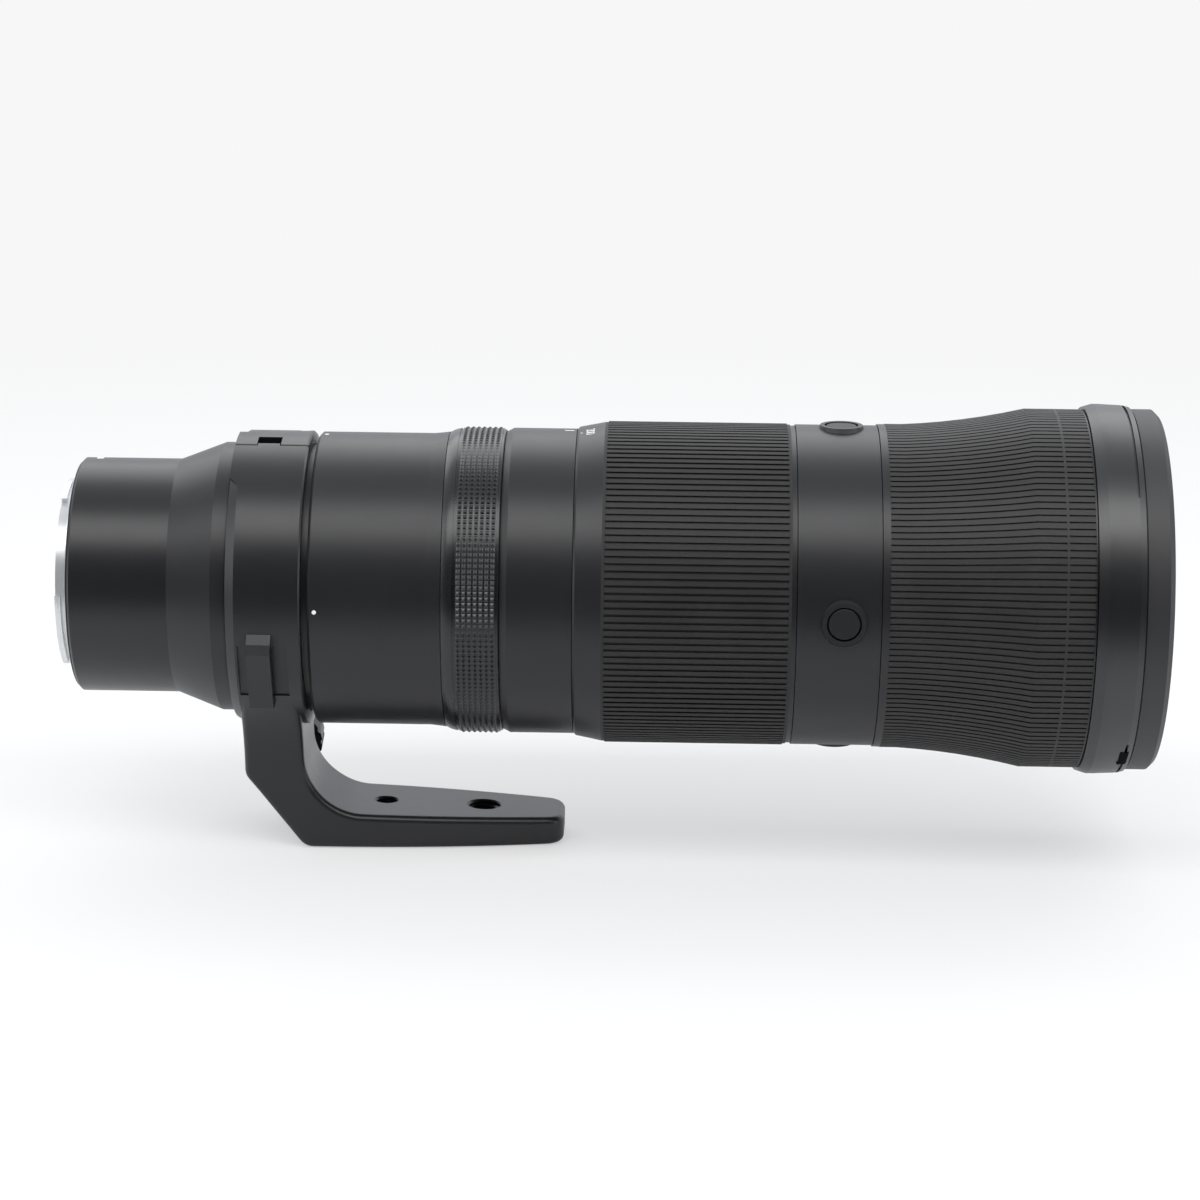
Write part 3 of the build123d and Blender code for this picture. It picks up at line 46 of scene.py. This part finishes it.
# Materials: a value wraps one socket, and sums on it add Math nodes
class Value:
    def __init__(self, finish, socket):
        self.finish = finish
        self.socket = socket

    def math(self, operation, first, second):
        return self.finish.add("ShaderNodeMath", {"operation": operation}, {0: first, 1: second})[0]

    def __add__(self, other):
        return self.math("ADD", self, other)

    def __radd__(self, other):
        return self.math("ADD", other, self)

    def __sub__(self, other):
        return self.math("SUBTRACT", self, other)

    def __rsub__(self, other):
        return self.math("SUBTRACT", other, self)

    def __mul__(self, other):
        return self.math("MULTIPLY", self, other)

    def __rmul__(self, other):
        return self.math("MULTIPLY", other, self)

    def clamped(self):
        return self.finish.add("ShaderNodeClamp", {}, {0: self})[0]

    def swing(self, width):
        # A noise from 0 to 1 becomes a swing of this width round zero.
        return (self - 0.5) * width


class Finish:
    def __init__(self, owner):
        # The owner of the nodes is a material or the world.
        owner.use_nodes = True
        self.owner = owner
        self.tree = owner.node_tree
        self.tree.nodes.clear()
        self.place = None

    def add(self, kind, settings, sockets):
        node = self.tree.nodes.new(kind)
        for key, value in settings.items():
            setattr(node, key, value)
        for key, value in sockets.items():
            if isinstance(value, Value):
                self.tree.links.new(value.socket, node.inputs[key])
            else:
                node.inputs[key].default_value = value
        return [Value(self, socket) for socket in node.outputs]

    def position(self):
        if self.place is None:
            self.place = self.add("ShaderNodeTexCoord", {}, {})[3]  # in the object's own frame
        return self.place

    def noise(self, scale, detail, roughness):
        # Scale is in features per metre of the object.
        sockets = {"Vector": self.position(), "Scale": scale, "Detail": detail, "Roughness": roughness}
        return self.add("ShaderNodeTexNoise", {}, sockets)[0]

    def mix(self, factor, low, high):
        low, high = [end if isinstance(end, Value) else (*end, 1) for end in (low, high)]
        return self.add("ShaderNodeMix", {"data_type": "RGBA"}, {0: factor, 6: low, 7: high})[2]

    def ease(self, value, start, end, low=0.0, high=1.0):
        # A smooth passage from low to high while the value runs from start to end.
        sockets = {0: value, 1: start, 2: end, 3: low, 4: high}
        return self.add("ShaderNodeMapRange", {"interpolation_type": "SMOOTHSTEP"}, sockets)[0]

    def bump(self, height, strength, distance):
        sockets = {"Height": height, "Strength": strength, "Distance": distance}
        return self.add("ShaderNodeBump", {}, sockets)[0]

    def blend(self, factor, first, second):
        return self.add("ShaderNodeMixShader", {}, {0: factor, 1: first, 2: second})[0]

    def surface(self, **sockets):
        # Underscores in a name stand for the spaces in the socket's name.
        named = {key.replace("_", " "): value for key, value in sockets.items()}
        shader = self.add("ShaderNodeBsdfPrincipled", {}, named)[0]
        self.add("ShaderNodeOutputMaterial", {}, {0: shader})
        return self.owner


def newFinish(name):
    return Finish(bpy.data.materials.new(name))


def scaled(colour, factor):
    return [channel * factor for channel in colour]


# Families of finish. Each noise is its scale, detail and roughness.
paint = {
    "flecks": (5200, 3.0, 0.7), "drift": (28, 2.0, 0.5), "rubbing": (190, 4.0, 0.65),
    "lighter": 1.1, "darker": 0.3, "contrast": 1.4, "offset": 0.2, "driftShare": 0.25, "driftTone": 1.25,
    "fleckGloss": 0.3, "driftGloss": 0.08, "rubbedGloss": 0.06, "relief": 0.03 * mm,
}


def paintFinish(name, colour, roughness, grain=0.35, sparkle=0.25, specular=0.5):
    # Satin paint: a fine grain, tiny brighter flecks and a slow drift of gloss.
    finish = newFinish(name)
    flecks = finish.noise(*paint["flecks"])
    drift = finish.noise(*paint["drift"])
    rubbed = finish.noise(*paint["rubbing"])
    light = scaled(colour, 1 + paint["lighter"] * sparkle)
    dark = scaled(colour, 1 - paint["darker"] * sparkle)
    tone = finish.mix((flecks * paint["contrast"] - paint["offset"]).clamped(), dark, light)
    tone = finish.mix((drift * paint["driftShare"]).clamped(), tone, scaled(colour, paint["driftTone"]))
    gloss = flecks.swing(paint["fleckGloss"] * sparkle) + drift.swing(paint["driftGloss"])
    gloss = gloss + rubbed.swing(paint["rubbedGloss"]) + roughness
    return finish.surface(Base_Color=tone, Roughness=gloss.clamped(), Specular_IOR_Level=specular,
                          Normal=finish.bump(flecks, grain, paint["relief"]))


rubber = {
    "skin": (3800, 3.0, 0.6), "bloom": (60, 5.0, 0.6), "dustLift": 1.6, "dustTone": 0.004,
    "bloomStart": 0.45, "bloomGain": 1.6, "skinShare": 0.5, "skinTone": 0.75, "skinGloss": 0.16,
    "bloomGloss": 0.14, "specular": 0.38, "relief": 0.04 * mm,
}


def rubberFinish(name, colour, roughness, grain=0.4):
    # Moulded rubber: matte, with a fine skin and a faint bloom of dust.
    finish = newFinish(name)
    skin = finish.noise(*rubber["skin"])
    bloom = finish.noise(*rubber["bloom"])
    dusty = [channel * rubber["dustLift"] + rubber["dustTone"] for channel in colour]
    tone = finish.mix(((bloom - rubber["bloomStart"]) * rubber["bloomGain"]).clamped(), colour, dusty)
    tone = finish.mix((skin * rubber["skinShare"]).clamped(), tone, scaled(colour, rubber["skinTone"]))
    gloss = skin.swing(rubber["skinGloss"]) + bloom.swing(rubber["bloomGloss"]) + roughness
    return finish.surface(Base_Color=tone, Roughness=gloss.clamped(), Specular_IOR_Level=rubber["specular"],
                          Normal=finish.bump(skin, grain, rubber["relief"]))


metal = {
    "turnedLines": (9000, 160, 160), "plainLines": (1400, 1400, 1400), "lineDetail": 4.0,
    "smudge": (90, 4.0, 0.6), "smudgeTone": 0.86, "grain": 0.25, "relief": 0.01 * mm,
}


def metalFinish(name, colour, roughness, marks=0.12, metallic=1.0, turned=False):
    # Bare metal: hairlines round the axis where it was turned, and light handling marks.
    finish = newFinish(name)
    stretch = metal["turnedLines"] if turned else metal["plainLines"]
    spread = finish.add("ShaderNodeVectorMath", {"operation": "MULTIPLY"},
                        {0: finish.position(), 1: stretch})[0]
    sockets = {"Vector": spread, "Scale": 1.0, "Detail": metal["lineDetail"]}
    lines = finish.add("ShaderNodeTexNoise", {}, sockets)[0]
    smudge = finish.noise(*metal["smudge"])
    tone = finish.mix(smudge, scaled(colour, metal["smudgeTone"]), colour)
    gloss = lines.swing(marks) + smudge.swing(marks) + roughness
    return finish.surface(Base_Color=tone, Roughness=gloss.clamped(), Metallic=metallic,
                          Normal=finish.bump(lines, metal["grain"], metal["relief"]))


glass = {
    "dust": (900, 6.0, 0.7), "dustStart": 0.62, "dustGain": 1.2, "dustGloss": 0.06, "sheenEdge": 0.35,
    "polish": 0.01, "bending": 1.16,
}


def glassFinish(name, tint, coating):
    # Coated glass: clear, with a painted coloured sheen towards grazing views, weak reflections and a trace
    # of dust.
    finish = newFinish(name)
    dust = finish.noise(*glass["dust"])
    edge = finish.add("ShaderNodeLayerWeight", {}, {"Blend": glass["sheenEdge"]})[1]
    # The colour turns from the tint to the coating's colour where the glass is seen edge-on: a painted
    # sheen.
    tone = finish.mix(edge, tint, coating)
    dusty = ((dust - glass["dustStart"]) * glass["dustGain"]).clamped()
    gloss = dusty * glass["dustGloss"] + glass["polish"]
    return finish.surface(Base_Color=tone, Roughness=gloss.clamped(), IOR=glass["bending"],
                          Transmission_Weight=1.0, Specular_Tint=(*coating, 1))


bodyBlack = (0.0108, 0.011, 0.0123)
finishes = {
    "mount_chrome": metalFinish("polishedMount", (0.76, 0.77, 0.78), 0.3,
                                marks=0.1, metallic=0.6, turned=True),
    "screw_steel": metalFinish("screwSteel", (0.62, 0.62, 0.63), 0.28),
    "mount_rubber": rubberFinish("gasketRubber", (0.012, 0.012, 0.012), 0.6),
    "baffle_black": paintFinish("baffleBlack", (0.008, 0.008, 0.0085), 0.72),
    "contact_plastic": paintFinish("contactPlastic", (0.016, 0.016, 0.017), 0.5),
    "contact_gold": metalFinish("contactGold", (0.86, 0.64, 0.3), 0.2),
    "mount_paint": paintFinish("mountPaint", (0.0102, 0.0103, 0.0114), 0.34, grain=0.25, sparkle=0.2),
    "body_paint": paintFinish("bodyPaint", bodyBlack, 0.38),
    "collar_paint": paintFinish("collarPaint", (0.0098, 0.01, 0.0112), 0.33, grain=0.45, sparkle=0.5),
    "pin_steel": metalFinish("pinSteel", (0.5, 0.5, 0.52), 0.3),
    "knob_paint": paintFinish("knobPaint", (0.02, 0.02, 0.022), 0.4),
    "panel_plastic": paintFinish("panelPlastic", (0.02, 0.02, 0.022), 0.5),
    "switch_plastic": paintFinish("switchPlastic", (0.05, 0.05, 0.054), 0.34),
    "control_paint": paintFinish("controlPaint", (0.0092, 0.0094, 0.0104), 0.27,
                                 grain=0.1, sparkle=0.15, specular=0.62),
    "zoom_paint": paintFinish("zoomPaint", bodyBlack, 0.38),
    "zoom_rubber": rubberFinish("zoomRubber", (0.0228, 0.0217, 0.0214), 0.58),
    "focus_paint": paintFinish("focusPaint", (0.011, 0.011, 0.0122), 0.36),
    "focus_rubber": rubberFinish("focusRubber", (0.0265, 0.0254, 0.025), 0.53),
    "button_plastic": rubberFinish("buttonPlastic", (0.0135, 0.0135, 0.0148), 0.46, grain=0.25),
    "front_gloss": paintFinish("frontGloss", (0.0045, 0.0047, 0.0056), 0.36,
                               grain=0.12, sparkle=0.12, specular=0.85),
    "rim_paint": paintFinish("rimPaint", (0.0155, 0.0155, 0.0167), 0.52,
                             grain=0.4, sparkle=0.3, specular=0.65),
    "tube_metal": metalFinish("tubeMetal", (0.1, 0.1, 0.105), 0.4, turned=True),
    "cell_black": paintFinish("cellBlack", (0.012, 0.012, 0.0125), 0.5),
    "motor_steel": metalFinish("motorSteel", (0.55, 0.55, 0.56), 0.32),
    "blade_black": paintFinish("bladeBlack", (0.015, 0.015, 0.016), 0.55),
    "front_glass": glassFinish("frontGlass", (0.9, 0.92, 0.93), (0.7, 0.55, 0.9)),
    "inner_glass": glassFinish("innerGlass", (0.9, 0.93, 0.91), (0.5, 0.75, 0.65)),
}
for entry in frame["record"]["subparts"]:
    node = frame["nodes"][entry["node"]]
    for place in node.material_slots:
        place.material = finishes[entry["material_slot"]]
print("finishes on", len(frame["nodes"]), "nodes")

marksWhite = paintFinish("markWhite", (0.82, 0.82, 0.8), 0.5, grain=0.15, sparkle=0.1)
# Near-black with almost no reflection: painted shade for the inside of the hood notch
notchShadeBlack = paintFinish("notchShadeBlack", (0.002, 0.002, 0.002), 0.8, specular=0.05)


# Mesh helpers. Angles run round the axis from the top towards the near side.
def barrelPoint(x, angle, radius):
    side = radians(angle)
    return Vector((x * mm, -radius * sin(side) * mm, radius * cos(side) * mm))


def meshPiece(name, points, faces, material, body, smooth=True):
    mesh = bpy.data.meshes.new(name)
    mesh.from_pydata([tuple(point) for point in points], [], faces)
    mesh.validate()
    mesh.update()
    for polygon in mesh.polygons:
        polygon.use_smooth = smooth
    mesh.materials.append(material)
    piece = bpy.data.objects.new(name, mesh)
    scene.collection.objects.link(piece)
    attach(piece, body)
    return piece


def smoothByAngle(piece, limit=30):
    piece.data.set_sharp_from_angle(angle=radians(limit))


def gridFaces(rows, columns, wrapRows=False, wrapColumns=False):
    faces = []
    for row in range(rows if wrapRows else rows - 1):
        here = row * columns
        there = (row + 1) % rows * columns
        for column in range(columns if wrapColumns else columns - 1):
            following = (column + 1) % columns
            faces.append((here + column, here + following, there + following, there + column))
    return faces


def sweptPiece(name, sections, material, body):
    # A closed piece through equal rings of points, with a flat cap at each end.
    size = len(sections[0])
    last = size * (len(sections) - 1)
    faces = gridFaces(len(sections), size, wrapColumns=True)
    faces += [tuple(range(size))[::-1], tuple(range(last, last + size))]
    points = [point for section in sections for point in section]
    smoothByAngle(meshPiece(name, points, faces, material, body))


# Control ring: a smooth band, a groove, rows of moulded pyramids and a plain end
control = {
    "start": 109.7, "end": 126.3, "bore": 41.2, "bandStart": 43.9, "bandTop": 45.0, "bandLength": 3.2,
    "bandSwell": 0.22, "bandSteps": 8, "grooveFloor": 44.6, "groove": 0.7, "wallSlope": 0.02,
    "base": 45.15, "crest": 45.53, "knurl": 11.9, "edge": 0.2, "endRadius": 44.8, "bevel": 0.25,
    "columns": 7, "rows": 176, "columnFootShare": 0.36, "rowFootShare": 0.42, "topShare": 0.05,
    "smooth": 28, "sameHeight": 1e-9,
}


def pyramidSteps(footShare):
    # A pyramid's foot, the edges of its top and its foot, as shares of the pitch and raised or not.
    top = control["topShare"]
    return (-footShare, 0), (-top, 1), (top, 1), (footShare, 0)


def controlProfile():
    # Corners of x, radius and whether a pyramid raises them, from the bore's rear to its front.
    bandEnd = control["start"] + control["bandLength"]
    knurlStart = bandEnd + control["groove"]
    knurlEnd = knurlStart + control["knurl"]
    corners = [(control["start"], control["bore"], 0)]
    for step in range(control["bandSteps"] + 1):  # the convex band
        share = step / control["bandSteps"]
        radius = control["bandStart"] + (control["bandTop"] - control["bandStart"]) * share
        radius += control["bandSwell"] * sin(pi * share)
        corners.append((control["start"] + control["bandLength"] * share, radius, 0))
    corners.append((bandEnd + control["wallSlope"], control["grooveFloor"], 0))
    corners.append((knurlStart, control["grooveFloor"], 0))
    corners.append((knurlStart + control["wallSlope"], control["base"], 0))
    pitch = (control["knurl"] - 2 * control["edge"]) / control["columns"]
    for column in range(control["columns"]):
        middle = knurlStart + control["edge"] + (column + 0.5) * pitch
        for offset, peak in pyramidSteps(control["columnFootShare"]):
            corners.append((middle + offset * pitch, control["base"], peak))
    corners.append((knurlEnd, control["base"], 0))
    corners.append((knurlEnd + control["wallSlope"], control["endRadius"], 0))
    corners.append((control["end"] - control["bevel"], control["endRadius"], 0))
    corners.append((control["end"], control["endRadius"] - control["bevel"], 0))
    corners.append((control["end"], control["bore"], 0))
    return corners


def splitSlopes(faces, heights):
    # A twisted quad is split along the diagonal that rises most, so pyramids keep straight hips.
    plain = []
    for a, b, c, d in faces:
        along = abs(heights[a] - heights[c])
        across = abs(heights[b] - heights[d])
        if abs(along - across) < control["sameHeight"]:
            plain.append((a, b, c, d))
        elif along > across:
            plain += [(a, b, c), (a, c, d)]
        else:
            plain += [(a, b, d), (b, c, d)]
    return plain


def controlRingPiece():
    corners = controlProfile()
    loop = corners + [corners[0]]
    rise = control["crest"] - control["base"]
    points, heights = [], []
    for row in range(control["rows"]):
        for offset, raised in pyramidSteps(control["rowFootShare"]):
            angle = 360 * (row + offset) / control["rows"]
            for x, radius, peak in loop:
                heights.append(radius + rise * peak * raised)
                points.append(barrelPoint(x, angle, heights[-1]))
    faces = splitSlopes(gridFaces(len(points) // len(loop), len(loop), wrapRows=True), heights)
    material = finishes["control_paint"]
    ring = meshPiece("knurledControlRing", points, faces, material, "control_ring")
    smoothByAngle(ring, control["smooth"])
    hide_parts("control_ring")


controlRingPiece()
print("control ring")

# Focus grip's thin plain line near its front
gripLine = {"x": 287.7, "width": 0.7, "radius": 53.1, "proud": 0.03, "sunk": 0.5, "steps": 240}


def gripLinePiece():
    rear = gripLine["x"] - gripLine["width"] / 2
    front = gripLine["x"] + gripLine["width"] / 2
    outer = gripLine["radius"]
    inner = outer - gripLine["sunk"]
    crest = (gripLine["x"], outer + gripLine["proud"])
    loop = [(rear, inner), (rear, outer), crest, (front, outer), (front, inner), (rear, inner)]
    steps = gripLine["steps"]
    points = [barrelPoint(x, 360 * step / steps, radius) for step in range(steps) for x, radius in loop]
    faces = gridFaces(steps, len(loop), wrapRows=True)
    material = finishes["focus_rubber"]
    smoothByAngle(meshPiece("focusGripLine", points, faces, material, "focus_ring"))


gripLinePiece()
print("focus grip line")

# Painted marks lie just on the barrels, with their edges let into the surface
marks = {
    "mountIndex": {"x": (4.4, 6.8), "width": 3.2, "radius": 34.75, "angle": -6},
    "collarLine": {"x": (64.6, 68.4), "width": 0.6, "radius": 43.6, "angle": -8},
    "scaleIndex": {"x": (143.3, 146.7), "width": 0.8, "radius": 45.3, "angle": -2},
    "collarDot": {"x": 73.4, "size": 1.3, "radius": 43.4, "count": 4, "steps": 20, "topShare": 0.9},
    "proud": 0.03, "columns": 4, "rows": 6,
}


def radiusOn(cone, x):
    # The radius at x between the (x, radius) corners of a barrel or a cone.
    (rear, rearRadius), (front, frontRadius) = cone
    return rearRadius + (frontRadius - rearRadius) * (x - rear) / (front - rear)


def paintedPatch(name, along, angle, half, cone, body):
    # The patch runs from along's first x to its second, and half its angle to each side.
    start, end = along
    columns = marks["columns"]
    rows = marks["rows"]
    points = []
    for row in range(rows + 1):
        for column in range(columns + 1):
            x = start + (end - start) * column / columns
            onEdge = row in (0, rows) or column in (0, columns)
            radius = radiusOn(cone, x) + (-marks["proud"] if onEdge else marks["proud"])
            points.append(barrelPoint(x, angle - half + 2 * half * row / rows, radius))
    meshPiece(name, points, gridFaces(rows + 1, columns + 1), marksWhite, body)


def paintedMark(name, body):
    mark = marks[name]
    half = degrees(mark["width"] / 2 / mark["radius"])
    cone = [(x, mark["radius"]) for x in mark["x"]]
    paintedPatch(name, mark["x"], mark["angle"], half, cone, body)


def paintedDot(name, angle, body):
    dot = marks["collarDot"]
    steps = dot["steps"]
    points = [barrelPoint(dot["x"], angle, dot["radius"] + marks["proud"])]
    for share, proud in ((dot["topShare"], marks["proud"]), (1, -marks["proud"])):
        reach = dot["size"] / 2 * share
        for step in range(steps):
            turn = 2 * pi * step / steps
            around = degrees(reach * sin(turn) / dot["radius"])
            points.append(barrelPoint(dot["x"] + reach * cos(turn), angle + around, dot["radius"] + proud))
    faces = []
    for step in range(steps):
        following = (step + 1) % steps
        faces.append((0, 1 + step, 1 + following))
        faces.append((1 + step, 1 + steps + step, 1 + steps + following, 1 + following))
    meshPiece(name, points, faces, marksWhite, body)


paintedMark("mountIndex", "barrel")
paintedMark("collarLine", "strap")
paintedMark("scaleIndex", "barrel")
for number in range(marks["collarDot"]["count"]):
    paintedDot(f"collarDot{number + 1}", 360 * number / marks["collarDot"]["count"], "barrel")
print("painted marks")

# A black piece fills the hood groove's locking notch: painted shade, standing in for the shade inside the
# recess
hoodNotchShade = {
    "angles": (136.5, 145.8), "steps": 12,
    "outline": ((306.2, 53.6), (306.2, 54.7), (308.0, 54.66), (308.8, 54.45), (308.8, 53.6)),
}


def hoodNotchShadePiece():
    first, last = hoodNotchShade["angles"]
    sections = []
    for step in range(hoodNotchShade["steps"] + 1):
        angle = first + (last - first) * step / hoodNotchShade["steps"]
        sections.append([barrelPoint(x, angle, radius) for x, radius in hoodNotchShade["outline"]])
    sweptPiece("hoodNotchShade", sections, notchShadeBlack, "barrel")


hoodNotchShadePiece()
print("hood notch shade")

# Focal lengths stand round the zoom ring's bare cone and pass the index as it turns
zoomScale = {
    "x": 151.2, "glyph": 3.6, "thick": 0.03, "tick": (148.3, 149.1), "tickWidth": 0.5,
    "cone": ((148.0, 45.9), (155.6, 47.4)),
    "places": {"200": 6, "300": -15, "400": -33, "500": -49, "600": -64},
}


def paintedNumber(text, angle):
    # Glyph tops point to the front. The letters are solid and sunk halfway into the paint.
    letters = bpy.data.curves.new("scale" + text, "FONT")
    letters.body = text
    letters.align_x = "CENTER"
    letters.align_y = "CENTER"
    letters.size = zoomScale["glyph"]
    letters.extrude = zoomScale["thick"]
    holder = bpy.data.objects.new("scale" + text, letters)
    scene.collection.objects.link(holder)
    bpy.context.view_layer.update()
    flat = holder.evaluated_get(bpy.context.evaluated_depsgraph_get()).to_mesh()
    points = []
    for vertex in flat.vertices:
        around, along, proud = vertex.co
        x = zoomScale["x"] + along
        radius = radiusOn(zoomScale["cone"], x)
        points.append(barrelPoint(x, angle + degrees(around / radius), radius + proud))
    faces = [tuple(polygon.vertices) for polygon in flat.polygons]
    bpy.data.objects.remove(holder)
    meshPiece("zoomNumber" + text, points, faces, marksWhite, "zoom", smooth=False)


def zoomTick(text, angle):
    half = degrees(zoomScale["tickWidth"] / 2 / radiusOn(zoomScale["cone"], zoomScale["x"]))
    paintedPatch("zoomTick" + text, zoomScale["tick"], angle, half, zoomScale["cone"], "zoom")


for text, angle in zoomScale["places"].items():
    paintedNumber(text, angle)
    zoomTick(text, angle)
print("zoom scale")

# Threads: a helical ridge on each hole's wall that runs out at both ends
threads = {
    "filterThread": {"from": 313.9, "to": 317.6, "radius": 47.5, "pitch": 0.75, "steps": 180},
    "smallFootThread": {"x": 90.7, "from": -78.4, "to": -70.2, "radius": 3.175, "pitch": 1.27, "steps": 48},
    "largeFootThread": {"x": 120.3, "from": -78.4, "to": -71.2, "radius": 4.7625, "pitch": 1.5875,
                        "steps": 64},
    "depthShare": 0.55, "footShare": 0.46, "topShare": 0.06, "leastShare": 0.05, "runOutTurns": 0.5,
    "sunk": 0.03,
}


def threadPoint(thread, along, turn, radius):
    if "x" in thread:  # a hole in the foot's sole
        return Vector((thread["x"] + radius * cos(turn), radius * sin(turn), along)) * mm
    return barrelPoint(along, degrees(turn), radius)


def threadPiece(name, body, slot):
    thread = threads[name]
    pitch = thread["pitch"]
    length = thread["to"] - thread["from"]
    count = round(length / pitch * thread["steps"])
    sections = []
    for step in range(count + 1):
        turnsToEnd = min(step, count - step) / thread["steps"]
        runOut = min(1, turnsToEnd / threads["runOutTurns"])
        foot = threads["footShare"] * pitch * max(runOut, threads["leastShare"])
        top = threads["topShare"] * pitch * max(runOut, threads["leastShare"])
        inner = thread["radius"] - threads["depthShare"] * pitch * runOut
        outer = thread["radius"] + threads["sunk"]
        middle = thread["from"] + length * step / count
        turn = 2 * pi * step / thread["steps"]
        ridge = ((-foot, outer), (-top, inner), (top, inner), (foot, outer))
        sections.append([threadPoint(thread, middle + shift, turn, radius) for shift, radius in ridge])
    sweptPiece(name, sections, finishes[slot], body)


threadPiece("filterThread", "barrel", "rim_paint")
threadPiece("smallFootThread", "collar", "collar_paint")
threadPiece("largeFootThread", "collar", "collar_paint")
print("threads")

# Stage: a pale floor that turns into plain white away from the object
stage = {
    "floor": -0.0792, "half": 9.0, "middle": (0.15, 0), "tone": (0.86, 0.86, 0.865),
    "white": (0.93, 0.93, 0.935), "near": 0.25, "far": 1.0, "least": 0.5,
    "shade": (0.02, 0.02, 0.02), "shadeNear": 0.06, "shadeFar": 0.4,
}
rays = {"camera": 0, "glossy": 3, "transmission": 6}  # outputs of Light Path


def floorFinish():
    finish = newFinish("studioFloor")
    diffuse = finish.add("ShaderNodeBsdfDiffuse", {}, {"Color": (*stage["tone"], 1)})[0]
    glow = finish.add("ShaderNodeEmission", {}, {"Color": (*stage["white"], 1)})[0]
    place = finish.add("ShaderNodeNewGeometry", {}, {})[0]
    middle = (*stage["middle"], stage["floor"])
    away = finish.add("ShaderNodeVectorMath", {"operation": "DISTANCE"}, {0: place, 1: middle})[1]
    whitened = finish.ease(away, stage["near"], stage["far"], low=stage["least"])
    path = finish.add("ShaderNodeLightPath", {}, {})
    seen = (path[rays["camera"]] + path[rays["transmission"]]).clamped()
    pale = finish.blend(whitened * seen, diffuse, glow)
    # Mirror rays find the floor black towards the camera, as a table's edge would leave it.
    across = finish.add("ShaderNodeSeparateXYZ", {}, {0: place})[1]
    ahead = finish.ease(0 - across, stage["shadeNear"], stage["shadeFar"])
    shade = finish.add("ShaderNodeBsdfDiffuse", {}, {"Color": (*stage["shade"], 1)})[0]
    mirrored = finish.blend(ahead * path[rays["glossy"]], pale, shade)
    finish.add("ShaderNodeOutputMaterial", {}, {0: mirrored})
    return finish.owner


def stageFloor():
    half = stage["half"]
    corners = ((-half, -half), (half, -half), (half, half), (-half, half))
    mesh = bpy.data.meshes.new("studioFloor")
    mesh.from_pydata([(*corner, stage["floor"]) for corner in corners], [], [(0, 1, 2, 3)])
    mesh.materials.append(floorFinish())
    floor = bpy.data.objects.new("studioFloor", mesh)
    scene.collection.objects.link(floor)


stageFloor()

# Studio lamps: a wide soft box overhead in front, a back light and two side strips
lamps = {
    "overheadBox": {"at": (0.15, -0.68, 1.05), "aim": (0.15, 0, 0), "size": (2.4, 0.6), "watts": 17},
    "backBox": {"at": (0.15, 0.95, 0.9), "aim": (0.15, 0, 0), "size": (2.4, 0.8), "watts": 9},
    "leftStrip": {"at": (-1.2, -0.3, 0.45), "aim": (0.1, 0, 0), "size": (0.5, 1.1), "watts": 4},
    "rightStrip": {"at": (1.5, -0.35, 0.45), "aim": (0.2, 0, 0), "size": (0.5, 1.1), "watts": 4},
}


def studioLamp(name):
    lamp = lamps[name]
    light = bpy.data.lights.new(name, "AREA")
    light.shape = "RECTANGLE"
    light.size, light.size_y = lamp["size"]
    light.energy = lamp["watts"]
    holder = bpy.data.objects.new(name, light)
    holder.location = lamp["at"]
    direction = Vector(lamp["aim"]) - Vector(lamp["at"])
    holder.rotation_euler = direction.to_track_quat("-Z", "Y").to_euler()
    scene.collection.objects.link(holder)


for name in lamps:
    studioLamp(name)

# Room: dark in front, bright paper behind, and plain white where the camera sees it
room = {"tone": (0.9, 0.95, 1.0), "front": 0.06, "back": 0.95, "frontY": -0.75, "backY": 0.7}


def studioWorld():
    finish = Finish(bpy.data.worlds.new("studioRoom"))
    facing = finish.add("ShaderNodeTexCoord", {}, {})[0]
    depth = finish.add("ShaderNodeSeparateXYZ", {}, {0: facing})[1]
    light = finish.ease(depth, room["frontY"], room["backY"], room["front"], room["back"])
    around = finish.add("ShaderNodeBackground", {}, {0: (*room["tone"], 1), 1: light})[0]
    shown = finish.add("ShaderNodeBackground", {}, {0: (*stage["white"], 1)})[0]
    path = finish.add("ShaderNodeLightPath", {}, {})
    mixed = finish.blend(path[rays["camera"]], around, shown)
    finish.add("ShaderNodeOutputWorld", {}, {0: mixed})
    scene.world = finish.owner


studioWorld()
scene.view_settings.view_transform = "Standard"

# Camera: a long view from slightly above, a touch towards the front end
shot = {
    "target": (0.1545, 0.0, 0.0), "distance": 1.06, "elevation": 13.9, "azimuth": 1.1, "roll": 0.6,
    "down": 0.0056, "lens": 106.8, "sensor": 36, "clip": (0.02, 60),
}


def placeCamera():
    rise = radians(shot["elevation"])
    turn = radians(shot["azimuth"])
    back = Vector((sin(turn) * cos(rise), -cos(turn) * cos(rise), sin(rise)))
    up = Vector((-sin(turn) * sin(rise), cos(turn) * sin(rise), cos(rise)))
    camera = bpy.data.cameras.new("productCamera")
    camera.lens = shot["lens"]
    camera.sensor_width = shot["sensor"]
    camera.clip_start, camera.clip_end = shot["clip"]
    holder = bpy.data.objects.new("productCamera", camera)
    aim = Vector(shot["target"]) - up * shot["down"]
    holder.location = aim + back * shot["distance"]
    facing = (-back).to_track_quat("-Z", "Y")
    holder.rotation_euler = (facing @ Euler((0, 0, radians(shot["roll"]))).to_quaternion()).to_euler()
    scene.collection.objects.link(holder)
    scene.camera = holder


placeCamera()
print("stage, lamps and camera")
